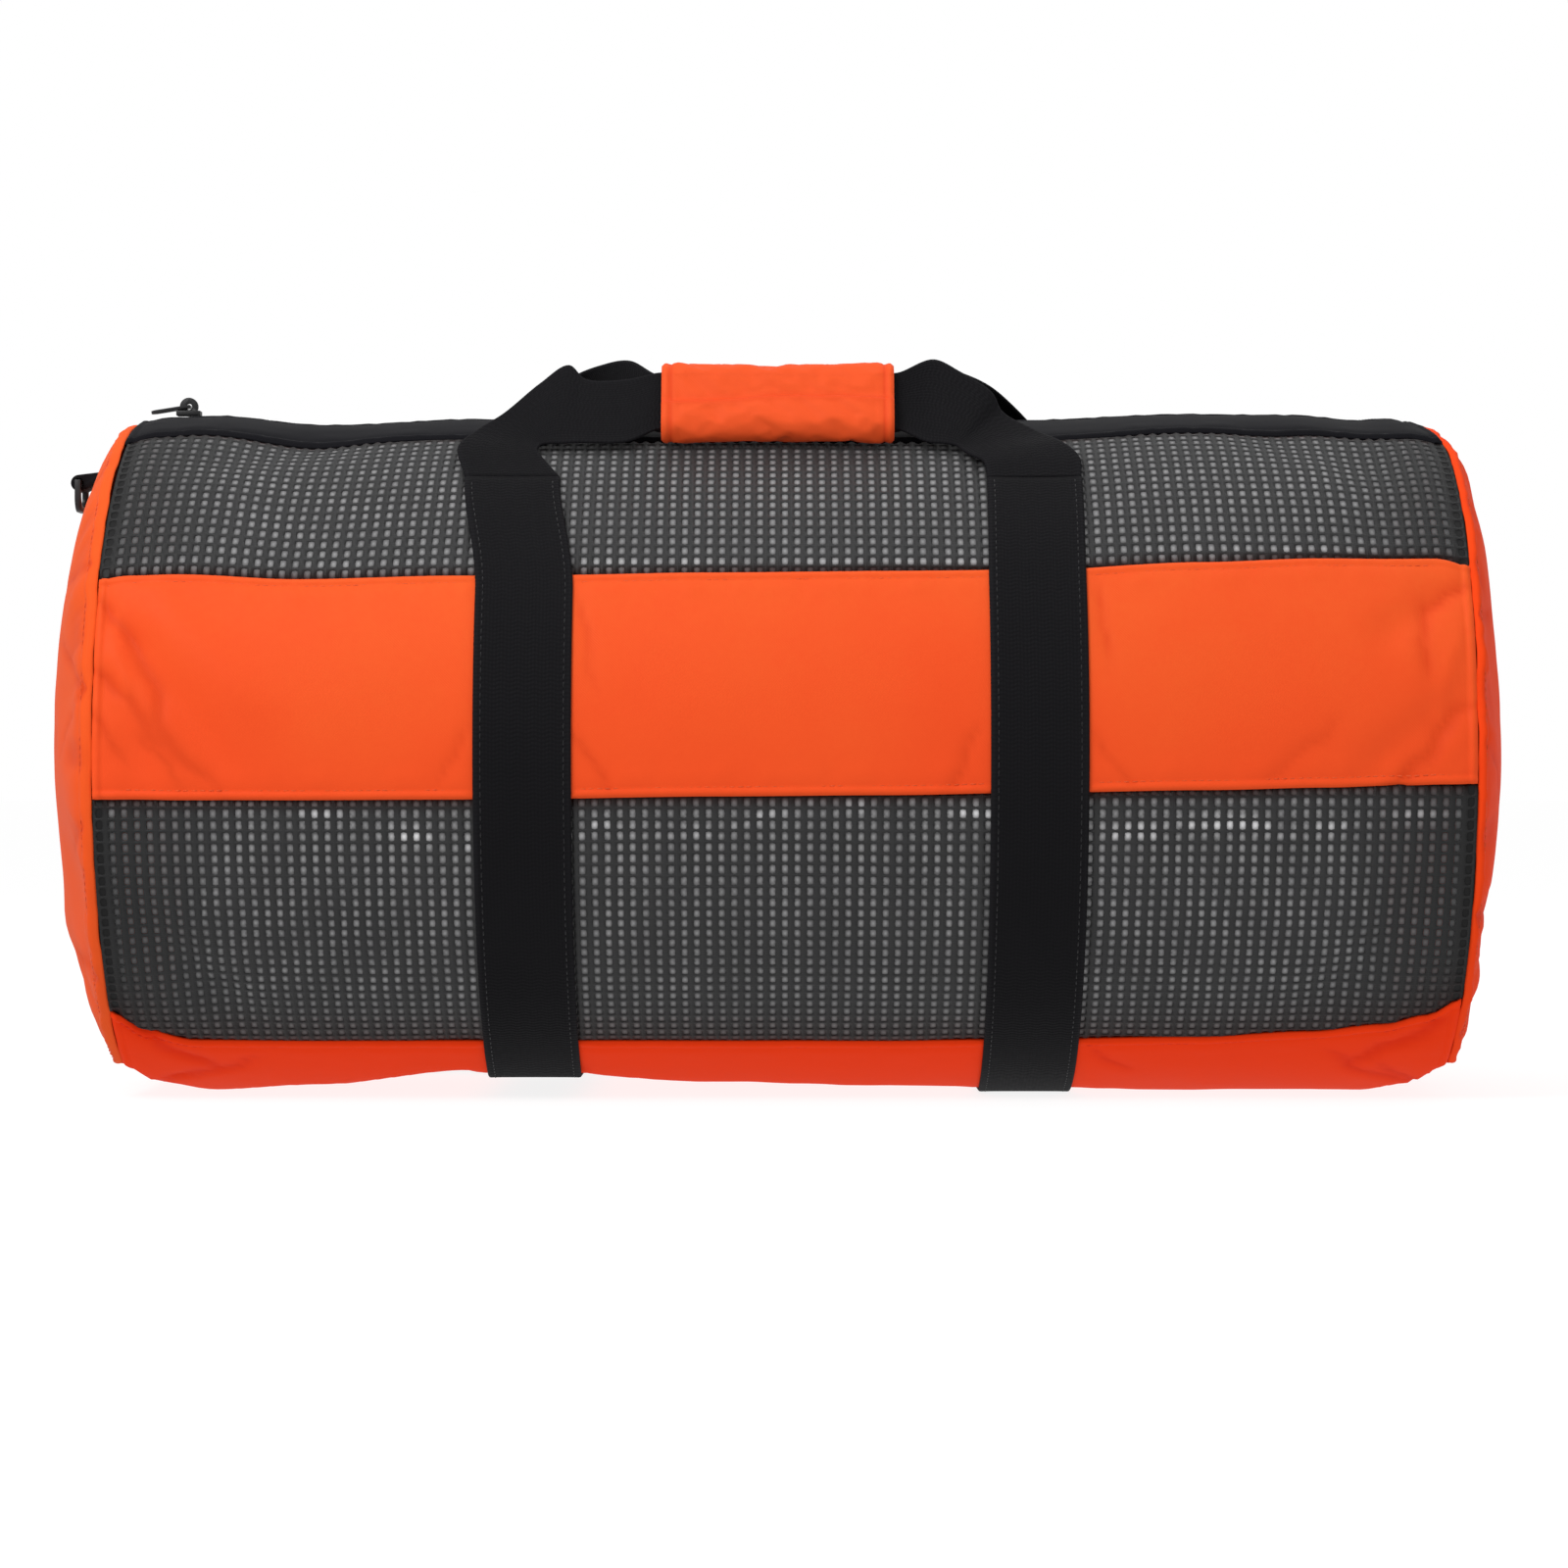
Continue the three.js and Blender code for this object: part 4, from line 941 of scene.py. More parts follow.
def grip(name, node, finish):
    """The padded wrap: a flat sleeve whose walls swell between its hems, with the flap's edge
    wandering along its front, a crease behind it, and rolled hems at both mouths. Its outside is
    then filled out as cloth, held at the hems and along the flap's edge."""
    half_depth, half_height = GRIP_DEPTH / 2, GRIP_HEIGHT / 2
    forward, up = grip_outline(half_depth, half_height, GRIP_FLAP)
    inner_forward, inner_up = grip_outline(half_depth - GRIP_WALL, half_height - GRIP_WALL, 0.0)
    share = spaced(GRIP_LENGTH, HEM_STEPS, 0.0022) / GRIP_LENGTH
    x = GRIP_CENTRE + (share - 0.5) * GRIP_LENGTH
    station, place = np.meshgrid(x, np.arange(len(forward)), indexing="ij")
    f, u = forward[place], up[place]
    from_end = np.minimum(station - x[0], x[-1] - station)
    hem = -0.0011 * bell(from_end / 0.0009) + 0.0004 * bell((from_end - 0.0022) / 0.0012)
    hem = hem - 0.0006 * bell((from_end - 0.0050) / 0.0010)
    swell = 0.0007 * smooth(from_end / 0.012) * (0.4 + 0.6 * wander(station * 60 + u * 90, 1.7))
    front_share = smooth((f - half_depth * 0.5) / (half_depth * 0.4))
    wave = 0.0011 * wander(station * 55, 0.6) + 0.0012 * np.sin(station * 38 + 0.9)
    mid = bell((u + 0.1 * half_height) / 0.006) * front_share
    drawn = -0.0005 * bell((u - 0.0015 - wave) / 0.0012) * front_share
    puff = hem + swell + drawn
    past_flat = u - np.clip(u, half_depth - half_height, half_height - half_depth)
    length = np.maximum(np.hypot(f, past_flat), 1e-6)
    normal_f, normal_u = f / length, past_flat / length
    outer = grip_point(station, f + puff * normal_f, u + puff * normal_u + wave * mid)
    inner = grip_point(station, inner_forward[place], inner_up[place])
    flap_line = bell((u + 0.1 * half_height) / 0.0022) * front_share
    outer = puffed(outer, np.clip(np.maximum(smooth((0.0075 - from_end) / 0.0020), flap_line), 0, 1))
    around = np.concatenate([[0], np.cumsum(np.hypot(np.diff(forward), np.diff(up)))])
    uv = np.stack([station, around[place]], axis=-1)
    # The crease mark is painted shade behind the flap's edge and along the stitched dip near each hem
    crease = np.maximum(flap_line * 0.55, 0.8 * bell((from_end - 0.0050) / 0.0011))
    marks = {"edge": bell(from_end / 0.0018), "crease": crease}
    piece = cloth_shell(name, outer, inner, uv, marks, node, finish, wrap=True)
    return piece


def beads(name, centres, along, up, half, finish, body="bag"):
    """Many small rounded bars: a four-sided profile carried through 3 rings along each bar. half is
    half the length, the width and the height."""
    count = len(centres)
    along = along / np.linalg.norm(along, axis=1)[:, None]
    side = np.cross(up, along)
    side = side / np.linalg.norm(side, axis=1)[:, None]
    up = np.cross(along, side)
    turn = np.radians(np.arange(0, 360, 90))
    rings = np.array([[-1.0, 0.55], [0.0, 1.0], [1.0, 0.55]])
    sides = len(turn)
    shape = np.concatenate([
        np.stack([np.full(sides, a), np.cos(turn) * r, np.sin(turn) * r], axis=-1)
        for a, r in rings]) * half
    points = (centres[:, None] + shape[None, :, :1] * along[:, None]
              + shape[None, :, 1:2] * side[:, None] + shape[None, :, 2:] * up[:, None])
    one = grid_quads(len(rings), sides, wrap=True)
    offset = (np.arange(count) * len(shape))[:, None, None]
    caps = np.stack([np.arange(sides)[::-1], (len(rings) - 1) * sides + np.arange(sides)])
    faces = [(one[None] + offset).reshape(-1, 4), (caps[None] + offset).reshape(-1, sides)]
    return make_mesh(name, points, faces, finish=finish, body=body)


def stitches(name, paths, finish):
    """One stitch for every pitch along each path of dense points: a bar that lies in the cloth,
    2.7 mm long and a thread wide. Each path is its points and its points a little higher."""
    centres, along, up = [], [], []
    for path, higher in paths:
        step = np.linalg.norm(np.diff(path, axis=0), axis=1)
        travelled = np.concatenate([[0], np.cumsum(step)])
        at = np.arange(sizes().stitch_pitch / 2, travelled[-1], sizes().stitch_pitch)
        k = np.clip(np.searchsorted(travelled, at), 1, len(path) - 1)
        centres.append((path[k] + path[k - 1]) / 2)
        along.append(path[k] - path[k - 1])
        up.append(higher[k] - path[k])
    return beads(name, np.concatenate(centres), np.concatenate(along), np.concatenate(up),
                 STITCH_HALF, finish)


def polished_copy(name, node, bevel, finish, body="bag"):
    """A merged copy of a CAD node with a small bevel, which then stands for it."""
    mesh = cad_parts[node].data.copy()
    mesh.name = name
    mesh.materials.clear()
    mesh.materials.append(finish)
    work = bmesh.new()
    work.from_mesh(mesh)
    bmesh.ops.remove_doubles(work, verts=work.verts, dist=2e-6)
    bmesh.ops.dissolve_limit(work, angle_limit=math.radians(2), verts=work.verts, edges=work.edges)
    work.to_mesh(mesh)
    work.free()
    piece = bpy.data.objects.new(name, mesh)
    bpy.context.scene.collection.objects.link(piece)
    modifier = piece.modifiers.new("rounded edges", "BEVEL")
    modifier.width = bevel
    modifier.segments = 2
    modifier.limit_method = "ANGLE"
    modifier.angle_limit = math.radians(30)
    mesh.polygons.foreach_set("use_smooth", np.ones(len(mesh.polygons), bool))
    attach(piece, body)
    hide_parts(node)
    return piece


def put(slot, value):
    """Links a shader value to a socket, or sets the socket to a plain one."""
    if isinstance(value, Value):
        value.tree.links.new(value.socket, slot)
    else:
        slot.default_value = value


class Value:
    """A shader socket that adds Math nodes where it is used in sums."""

    def __init__(self, tree, socket):
        self.tree, self.socket = tree, socket

    def _math(self, operation, *values):
        node = self.tree.nodes.new("ShaderNodeMath")
        node.operation = operation
        for slot, value in zip(node.inputs, values):
            put(slot, value)
        return Value(self.tree, node.outputs[0])

    def __add__(self, other):
        return self._math("ADD", self, other)

    __radd__ = __add__

    def __sub__(self, other):
        return self._math("SUBTRACT", self, other)

    def __rsub__(self, other):
        return self._math("SUBTRACT", other, self)

    def __mul__(self, other):
        return self._math("MULTIPLY", self, other)

    __rmul__ = __mul__

    def sine(self):
        """The sine of the value in radians."""
        return self._math("SINE", self)

    def clamped(self):
        """The value held between 0 and 1."""
        made = self._math("ADD", self, 0.0)
        made.socket.node.use_clamp = True
        return made

    def size(self):
        """The value without its sign."""
        return self._math("ABSOLUTE", self)


class Finish:
    """A material with one Principled shader, and the nodes that feed it."""

    def __init__(self, name, **constants):
        self.material = bpy.data.materials.new(name)
        self.material.use_nodes = True
        self.tree = self.material.node_tree
        self.shader = self.tree.nodes["Principled BSDF"]
        for socket, value in constants.items():
            self.shader.inputs[socket.replace("_", " ")].default_value = value

    def node(self, kind, output=0, settings=(), **inputs):
        """A node of the kind: its settings first, then values or links for its sockets."""
        made = self.tree.nodes.new("ShaderNode" + kind)
        for key, value in dict(settings).items():
            setattr(made, key, value)
        for key, value in inputs.items():
            put(made.inputs[key], value)
        return Value(self.tree, made.outputs[output])

    def coordinates(self):
        return self.node("TexCoord", output="Object")

    def parts(self, vector):
        """The three numbers of a vector."""
        split = self.tree.nodes.new("ShaderNodeSeparateXYZ")
        put(split.inputs[0], vector)
        return [Value(self.tree, output) for output in split.outputs]

    def cloth_map(self):
        """The piece's own map: metres along the bag and metres round it."""
        return self.parts(self.node("UVMap", settings={"uv_map": "cloth"}))[:2]

    def height(self):
        """Height above the ground, as Object coordinates give it."""
        return self.parts(self.coordinates())[2]

    def mark(self, name):
        """A value that the mesh carries at its points."""
        return self.node("Attribute", output="Fac", settings={"attribute_name": name})

    def noise(self, scale, detail=3.0):
        """Cloudy values between 0 and 1, with the scale as patches per metre."""
        return self.node("TexNoise", Vector=self.coordinates(), Scale=scale, Detail=detail)

    def mix(self, factor, first, second):
        """Colour mix: first where the factor is 0, second where it is 1."""
        made = self.tree.nodes.new("ShaderNodeMix")
        made.data_type = "RGBA"
        made.clamp_factor = True
        put(made.inputs[0], factor)
        for slot, value in ((made.inputs[6], first), (made.inputs[7], second)):
            put(slot, value if isinstance(value, Value) else (*value[:3], 1.0))
        return Value(self.tree, made.outputs[2])

    def feed(self, socket, value):
        """Links a value to a socket of the shader."""
        put(self.shader.inputs[socket], value)

    def bump(self, height, distance, strength=1.0):
        """Raises the surface's look by the height times the distance."""
        self.feed("Normal", self.node("Bump", Height=height, Distance=distance, Strength=strength))


def shade(colour, factor):
    """A colour times a factor."""
    return tuple(min(1.0, channel * factor) for channel in colour)


def woven_cloth(
        name, colour, dark=0.93, pitch=0.0007, sheen=0.02, roughness=0.58, specular=0.08, turn=0.0):
    """Coated plain weave: threads over and under each other in a fine check, cloudy shade down to
    the dark share, paler and rougher along the worn seam edges, and a painted shade, darker and
    redder, in its creases. turn is how much painted light from above goes into the colour: redder
    low on the bag and more orange high on it."""
    f = Finish(name, Sheen_Weight=sheen, Sheen_Roughness=0.45, Specular_IOR_Level=specular)
    u, v = f.cloth_map()
    warp, weft = (u * (math.pi / pitch)).sine(), (v * (math.pi / pitch)).sine()
    weave = warp * weft
    cloudy = f.noise(9.0, 4.0)
    speck = f.noise(260.0, 2.0)
    # Painted light from above: height mixes from a redder tone low on the bag to a more orange one high on
    # it
    height = ((f.height() - 0.150) * 7.7 + (cloudy - 0.5) * 0.7).clamped()
    low, high, painted_crease_shade = (
        tuple(channel * share for channel, share in zip(colour, shares))
        for shares in (
            (1 + 0.03 * turn, 1 - 0.30 * turn, 1 - 0.22 * turn),
            (1 - 0.03 * turn, 1 + 0.15 * turn, 1 + 0.17 * turn),
            (0.80, 0.52, 0.50),
        ))
    tone = f.mix(cloudy * 0.9 + speck * 0.3 - 0.15, shade(low, dark), f.mix(height, low, high))
    # Painted shade: darker and redder where the crease mark is
    tone = f.mix(f.mark("crease") * 0.75, tone, painted_crease_shade)
    worn = f.mark("edge") * (0.35 + speck * 0.5)
    f.feed("Base Color", f.mix(worn * 0.35, tone, shade(colour, 1.12)))
    f.feed("Roughness", roughness - 0.08 + cloudy * 0.12 + worn * 0.08)
    f.bump(weave * 0.5 + speck * 0.6, 0.00012, 0.35)
    return f.material


def net_scrim(name, colour):
    """Fine hazy threads that fill each hole of the coarse net, palest in its middle, and let some of
    the light by. Glints are painted into their colour in patches along a slack wave and where the
    mesh is marked to shine; painted shade darkens them near both end seams, and near the marked
    seam edges it turns them a dark red-brown."""
    f = Finish(name, Roughness=0.5, Specular_IOR_Level=0.15)
    u, v = f.cloth_map()
    cloudy = f.noise(11.0, 3.0)
    wave = (u * 19.0 + 0.9).sine() * 0.008 + (f.noise(14.0, 2.0) - 0.5) * 0.040
    patches = (f.noise(52.0, 1.0) * 5.0 - 2.0).clamped()
    along_wave = ((v + 0.037 - wave).size() * -170.0 + 1.0).clamped()
    glint = (along_wave + f.mark("shine") * 0.55) * patches
    middle = f.mark("middle")
    tone = f.mix(middle * 0.9 + cloudy * 0.3 - 0.15, shade(colour, 0.50), shade(colour, 1.75))
    # Painted glints: the colour turns pale in patches along a slack wave and in the marked row
    tone = f.mix(glint * (middle + 0.4), tone, shade(colour, 4.2))
    # Painted shade: the holes darken towards both end seams
    painted_end_shade = (u.size() * 15.0 - 4.25).clamped() * (cloudy * 0.8 + 0.4)
    tone = f.mix(painted_end_shade, tone, shade(colour, 0.22))
    bound = ((u.size() - 0.3428) * 500.0).clamped()
    # Painted shade: near the marked seam edges the colour turns dark red-brown
    seam = f.mix(f.mark("edge"), tone, (0.024, 0.006, 0.005))
    f.feed("Base Color", f.mix(bound, seam, shade(colour, 0.05)))
    f.feed("Alpha", 0.70 + cloudy * 0.16 + bound + f.mark("edge") * 0.3)
    return f.material


def net_strands(name, colour):
    """Knitted strands: fine threads run up each rib, a little shiny, dusty in places, with painted
    shade that darkens them near the end seams and along the marked seam edges."""
    f = Finish(name, Sheen_Weight=0.04, Sheen_Roughness=0.4, Specular_IOR_Level=0.16)
    u, v = f.cloth_map()
    threads = (u * (math.pi / 0.00045)).sine() * 0.6 + (v * (math.pi / 0.0006)).sine() * 0.4
    dust = f.noise(34.0, 3.0)
    tone = f.mix(dust * 0.8, shade(colour, 0.75), shade(colour, 1.35))
    # Painted shade: the strands darken towards both end seams
    painted_end_shade = (u.size() * 15.0 - 4.25).clamped() * 0.6
    tone = f.mix(painted_end_shade, tone, shade(colour, 0.35))
    # Painted shade: dark along the marked seam edges
    f.feed("Base Color", f.mix(f.mark("edge"), tone, (0.010, 0.0035, 0.003)))
    f.feed("Roughness", 0.42 + dust * 0.16)
    f.bump(threads, 0.0001, 0.5)
    return f.material


def ribbed_webbing(name, colour, mapped=True):
    """Woven webbing: a herringbone of ribs across it, a smooth selvedge, and paler worn edges."""
    f = Finish(name, Sheen_Weight=0.01, Sheen_Roughness=0.5, Specular_IOR_Level=0.04)
    speck = f.noise(420.0, 2.0)
    cloudy = f.noise(14.0, 3.0)
    f.feed("Roughness", 0.56 + speck * 0.18)
    if mapped:
        u, v = f.cloth_map()
        chevron = (v * (math.pi / 0.0011) + (u * (math.pi / 0.0042)).sine() * 1.4).sine()
        ribs = chevron * 0.6 + (u * (math.pi / 0.0009)).sine() * 0.4
        worn = f.mark("edge") * (0.3 + speck * 0.6)
        tone = f.mix(cloudy * 0.5 + ribs * 0.18 + 0.2, shade(colour, 0.75), shade(colour, 1.3))
        f.feed("Base Color", f.mix(worn * 0.5, tone, shade(colour, 2.2)))
        f.bump(ribs + speck * 0.4, 0.00022, 0.6)
    else:
        f.feed("Base Color", f.mix(cloudy, shade(colour, 0.8), shade(colour, 1.4)))
        f.bump(f.noise(900.0, 1.0), 0.0002, 0.5)
    return f.material


def moulded_plastic(name, colour):
    """Satin moulded plastic with a fine grain and a few duller places."""
    f = Finish(name, Specular_IOR_Level=0.35)
    grain = f.noise(900.0, 2.0)
    dull = f.noise(120.0, 3.0)
    f.feed("Base Color", f.mix(dull, shade(colour, 0.8), shade(colour, 1.4)))
    f.feed("Roughness", 0.32 + dull * 0.2)
    f.bump(grain, 0.00005, 0.3)
    return f.material


def thread(name, colour):
    """Twisted sewing thread: a slightly shiny version of the cloth's colour."""
    f = Finish(name, Sheen_Weight=0.1, Specular_IOR_Level=0.2)
    twist = f.noise(1500.0, 1.0)
    f.feed("Base Color", f.mix(twist, shade(colour, 0.85), shade(colour, 1.1)))
    f.feed("Roughness", 0.45 + twist * 0.15)
    return f.material


def finishes():
    """Each use's material: its name, the function that makes it, its values and its options."""
    c = colours()
    # turn sets how much painted light from above each cloth takes: full on the bands, less on the ends
    end = {"sheen": 0.01, "roughness": 0.60, "turn": 0.4}
    return {
        "cloth": ("orange cloth", woven_cloth, (c.cloth,), {"turn": 1.0}),
        "left end": ("left end cloth", woven_cloth, (c.cloth,), {"specular": 0.045, **end}),
        # The right end takes the darker, redder colour as painted shade
        "right end": ("right end cloth", woven_cloth, (c.shaded_right_cloth,), {"specular": 0.03, **end}),
        "under": ("orange under cloth", woven_cloth, (c.under_cloth, 0.92),
                  {"sheen": 0.0, "roughness": 0.62, "specular": 0.03}),
        "grip": ("grip cloth", woven_cloth, (c.grip_cloth, 0.90), {}),
        "top": ("black cloth", woven_cloth, (c.top_cloth, 0.80, 0.0009),
                {"roughness": 0.66, "specular": 0.06}),
        "webbing": ("black webbing", ribbed_webbing, (c.webbing,), {}),
        "tab": ("tab webbing", ribbed_webbing, (c.webbing, False), {}),
        "seam tape": ("seam tape", ribbed_webbing, (c.top_cloth, False), {}),
        "zip tape": ("zip tape", ribbed_webbing, (c.top_cloth, False), {}),
        "zip core": ("zip core", ribbed_webbing, (c.top_cloth, False), {}),
        "net": ("black net", net_strands, (c.net,), {}),
        "scrim": ("fine scrim", net_scrim, (c.scrim,), {}),
        "plastic": ("black plastic", moulded_plastic, (c.plastic,), {}),
        "cloth thread": ("orange thread", thread, (shade(c.cloth, 0.9),), {}),
        "under thread": ("orange under thread", thread, (shade(c.under_cloth, 0.9),), {}),
        "black thread": ("black thread", thread, (shade(c.webbing, 1.5),), {}),
    }


def finish_for(use):
    """The material for a use, made when it is first asked for."""
    name, maker, values, options = finishes()[use]
    return bpy.data.materials.get(name) or maker(name, *values, **options)


def finish_kept(nodes, use):
    """Gives CAD nodes that stay in view their material."""
    for node in nodes:
        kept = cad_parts[node]
        kept.data.materials.clear()
        kept.data.materials.append(finish_for(use))


class BAG_OT_cloth(bpy.types.Operator):
    """Builds the orange bands and bottom, and the black top beside the zip"""

    bl_idname = "bag.cloth"
    bl_label = "Cloth panels"

    def execute(self, context):
        orange, black = finish_for("cloth"), finish_for("top")
        for back, word, seed in ((False, "front", 0.4), (True, "back", 3.2)):
            cloth_panel(f"band_{word}", "band", back, f"side_band_{word}", orange, seed)
            cloth_panel(f"top_{word}", "top", back, f"top_panel_{word}", black, seed + 1,
                        step=PLAIN_STEP, creased=False)
        cloth_panel("bottom", "bottom", False, "bottom_panel", finish_for("under"), 7.1,
                    step=PLAIN_STEP)
        return {"FINISHED"}


class BAG_OT_ends(bpy.types.Operator):
    """Builds the two domed ends and finishes the tape inside their seams"""

    bl_idname = "bag.ends"
    bl_label = "End panels"

    def execute(self, context):
        end_panel("end_left", -1, "end_panel_left", finish_for("left end"), 1.9)
        end_panel("end_right", 1, "end_panel_right", finish_for("right end"), 5.3)
        finish_kept(("end_binding_left", "end_binding_right"), "seam tape")
        return {"FINISHED"}


class BAG_OT_nets(bpy.types.Operator):
    """Builds the four net panels with their true holes"""

    bl_idname = "bag.nets"
    bl_label = "Net panels"

    def execute(self, context):
        finish = finish_for("net")
        for back, word in ((False, "front"), (True, "back")):
            for level, panel in (("low", "net_lower"), ("high", "net_upper")):
                net_panel(f"net_{level}_{word}", panel, back, f"{panel}_{word}", finish)
        return {"FINISHED"}


class BAG_OT_webbing(bpy.types.Operator):
    """Builds the two straps, the two handles and the end loop"""

    bl_idname = "bag.webbing"
    bl_label = "Straps and handles"

    def execute(self, context):
        half = sizes().webbing_width / 2
        lift = SEAM_GAP + WEBBING_THICKNESS / 2
        angles = np.linspace(-180 - STRAP_TOP_ANGLE, STRAP_TOP_ANGLE, 200)
        finish = finish_for("webbing")
        for side, strap_at in STRAPS_AT.items():
            def surface(angle, u, h, side=side, strap_at=strap_at):
                point = skin(strap_at + u * (half - 0.0001), angle, lift + h)
                point[..., 0] += strap_shift(side, angle)
                return point

            ribbon(f"webbing_{side}", surface, angles, f"strap_{side}", finish)
        for which in ("front", "back"):
            handle(f"loop_{which}", which, f"handle_{which}", finish)
        polished_copy("tab_loop", "end_tab", 0.0004, finish_for("tab"))
        return {"FINISHED"}


class BAG_OT_grip(bpy.types.Operator):
    """Builds the padded wrap round both handles"""

    bl_idname = "bag.grip"
    bl_label = "Grip"

    def execute(self, context):
        grip("grip_wrap", "handle_grip", finish_for("grip"))
        return {"FINISHED"}


class BAG_OT_fittings(bpy.types.Operator):
    """Builds the zip's teeth, slider and pull, and the ring on the left end"""

    bl_idname = "bag.fittings"
    bl_label = "Zip and ring"

    def execute(self, context):
        finish_kept(("zip_tape_front", "zip_tape_back"), "zip tape")
        plastic = finish_for("plastic")
        seam = sizes().half_length - SEAM_GAP / 2
        x = np.arange(-seam + ZIP_TOOTH_PITCH, seam - ZIP_TOOTH_PITCH, ZIP_TOOTH_PITCH / 2)
        side = np.where(np.arange(len(x)) % 2 == 0, -1.0, 1.0)
        centre = skin(x, 90.0, ZIP_COIL_PROUD - ZIP_TOOTH_SINK)
        centre[:, 1] += side * 0.0011
        across = np.tile([0.0, 1.0, 0.0], (len(x), 1))
        up = np.tile([0.0, 0.0, 1.0], (len(x), 1))
        teeth = beads("zip_teeth", centre, across, up, ZIP_TOOTH_HALF, plastic)
        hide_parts("zip_coil")
        low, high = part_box("zip_coil")
        half_core = (high[1] - low[1]) / 2 - 0.0001

        def core(x, u, h):
            """The strip under the teeth, which keeps the zip closed."""
            point = skin(x, 90.0, ZIP_COIL_PROUD - ZIP_CORE_SINK + h)
            point[..., 1] += u * half_core
            return point

        ribbon("zip_core", core, np.linspace(-seam + 0.001, seam - 0.001, 120), None,
               finish_for("zip core"), ZIP_CORE_THICKNESS)
        polished_copy("slider", "zip_slider", 0.0005, plastic)
        polished_copy("pull", "zip_pull", 0.0004, plastic, "zip_pull")
        polished_copy("ring", "end_ring", 0.0008, plastic, "end_ring")
        return {"FINISHED"}


class BAG_OT_stitching(bpy.types.Operator):
    """Sews a row of stitches along every seam and along the webbing"""

    bl_idname = "bag.stitching"
    bl_label = "Stitching"

    def execute(self, context):
        radius, seam = sizes().half_width, sizes().half_length - SEAM_GAP / 2
        x = np.linspace(-seam + 0.004, seam - 0.004, 1400)

        def seam_path(panel, upper, back):
            """A panel's seam line in runs that stop at the straps."""
            low, high = seam_angles(x, panel)
            inset = math.degrees(STITCH_INSET / radius)
            angle = high - inset if upper else low + inset
            angle = 180 - angle if back else angle
            kept = np.flatnonzero(under_strap(x, angle) < 0.2)
            runs = np.split(kept, np.flatnonzero(np.diff(kept) > 1) + 1)
            return [(skin(x[run], angle[run], -0.0002), skin(x[run], angle[run], 0.001)) for run in runs]

        orange, black = [], []
        for back in (False, True):
            for upper in (False, True):
                orange += seam_path("band", upper, back)
                black += seam_path("top", upper, back)
        under = seam_path("bottom", False, False) + seam_path("bottom", True, False)
        turned = np.linspace(-89, 269, 1400)
        for end in (-1, 1):
            out = np.full(turned.shape, 1 - STITCH_INSET / radius)
            orange.append([
                end_point(end, turned, out, lift, fine) for lift, fine in ((0.0, -0.0006), (0.001, 0.002))])
        webbing = []
        half = sizes().webbing_width / 2
        angles = np.linspace(-180 - STRAP_TOP_ANGLE + 1, STRAP_TOP_ANGLE - 1, 1600)
        for side, strap_at in STRAPS_AT.items():
            for offset in (STRAP_STITCH_INSET - half, half - STRAP_STITCH_INSET):
                path = [
                    skin(strap_at + offset, angles, SEAM_GAP + WEBBING_THICKNESS * share)
                    for share in (0.96, 1.6)]
                for points in path:
                    points[:, 0] += strap_shift(side, angles)
                webbing.append(path)
        for name, paths, use, slot in (
            ("stitches_cloth", orange, "cloth thread", "orange_cloth"),
            ("stitches_under", under, "under thread", "orange_under"),
            ("stitches_top", black, "black thread", "black_cloth"),
            ("stitches_webbing", webbing, "black thread", "black_webbing"),
        ):
            stitches(name, paths, finish_for(use))
        return {"FINISHED"}


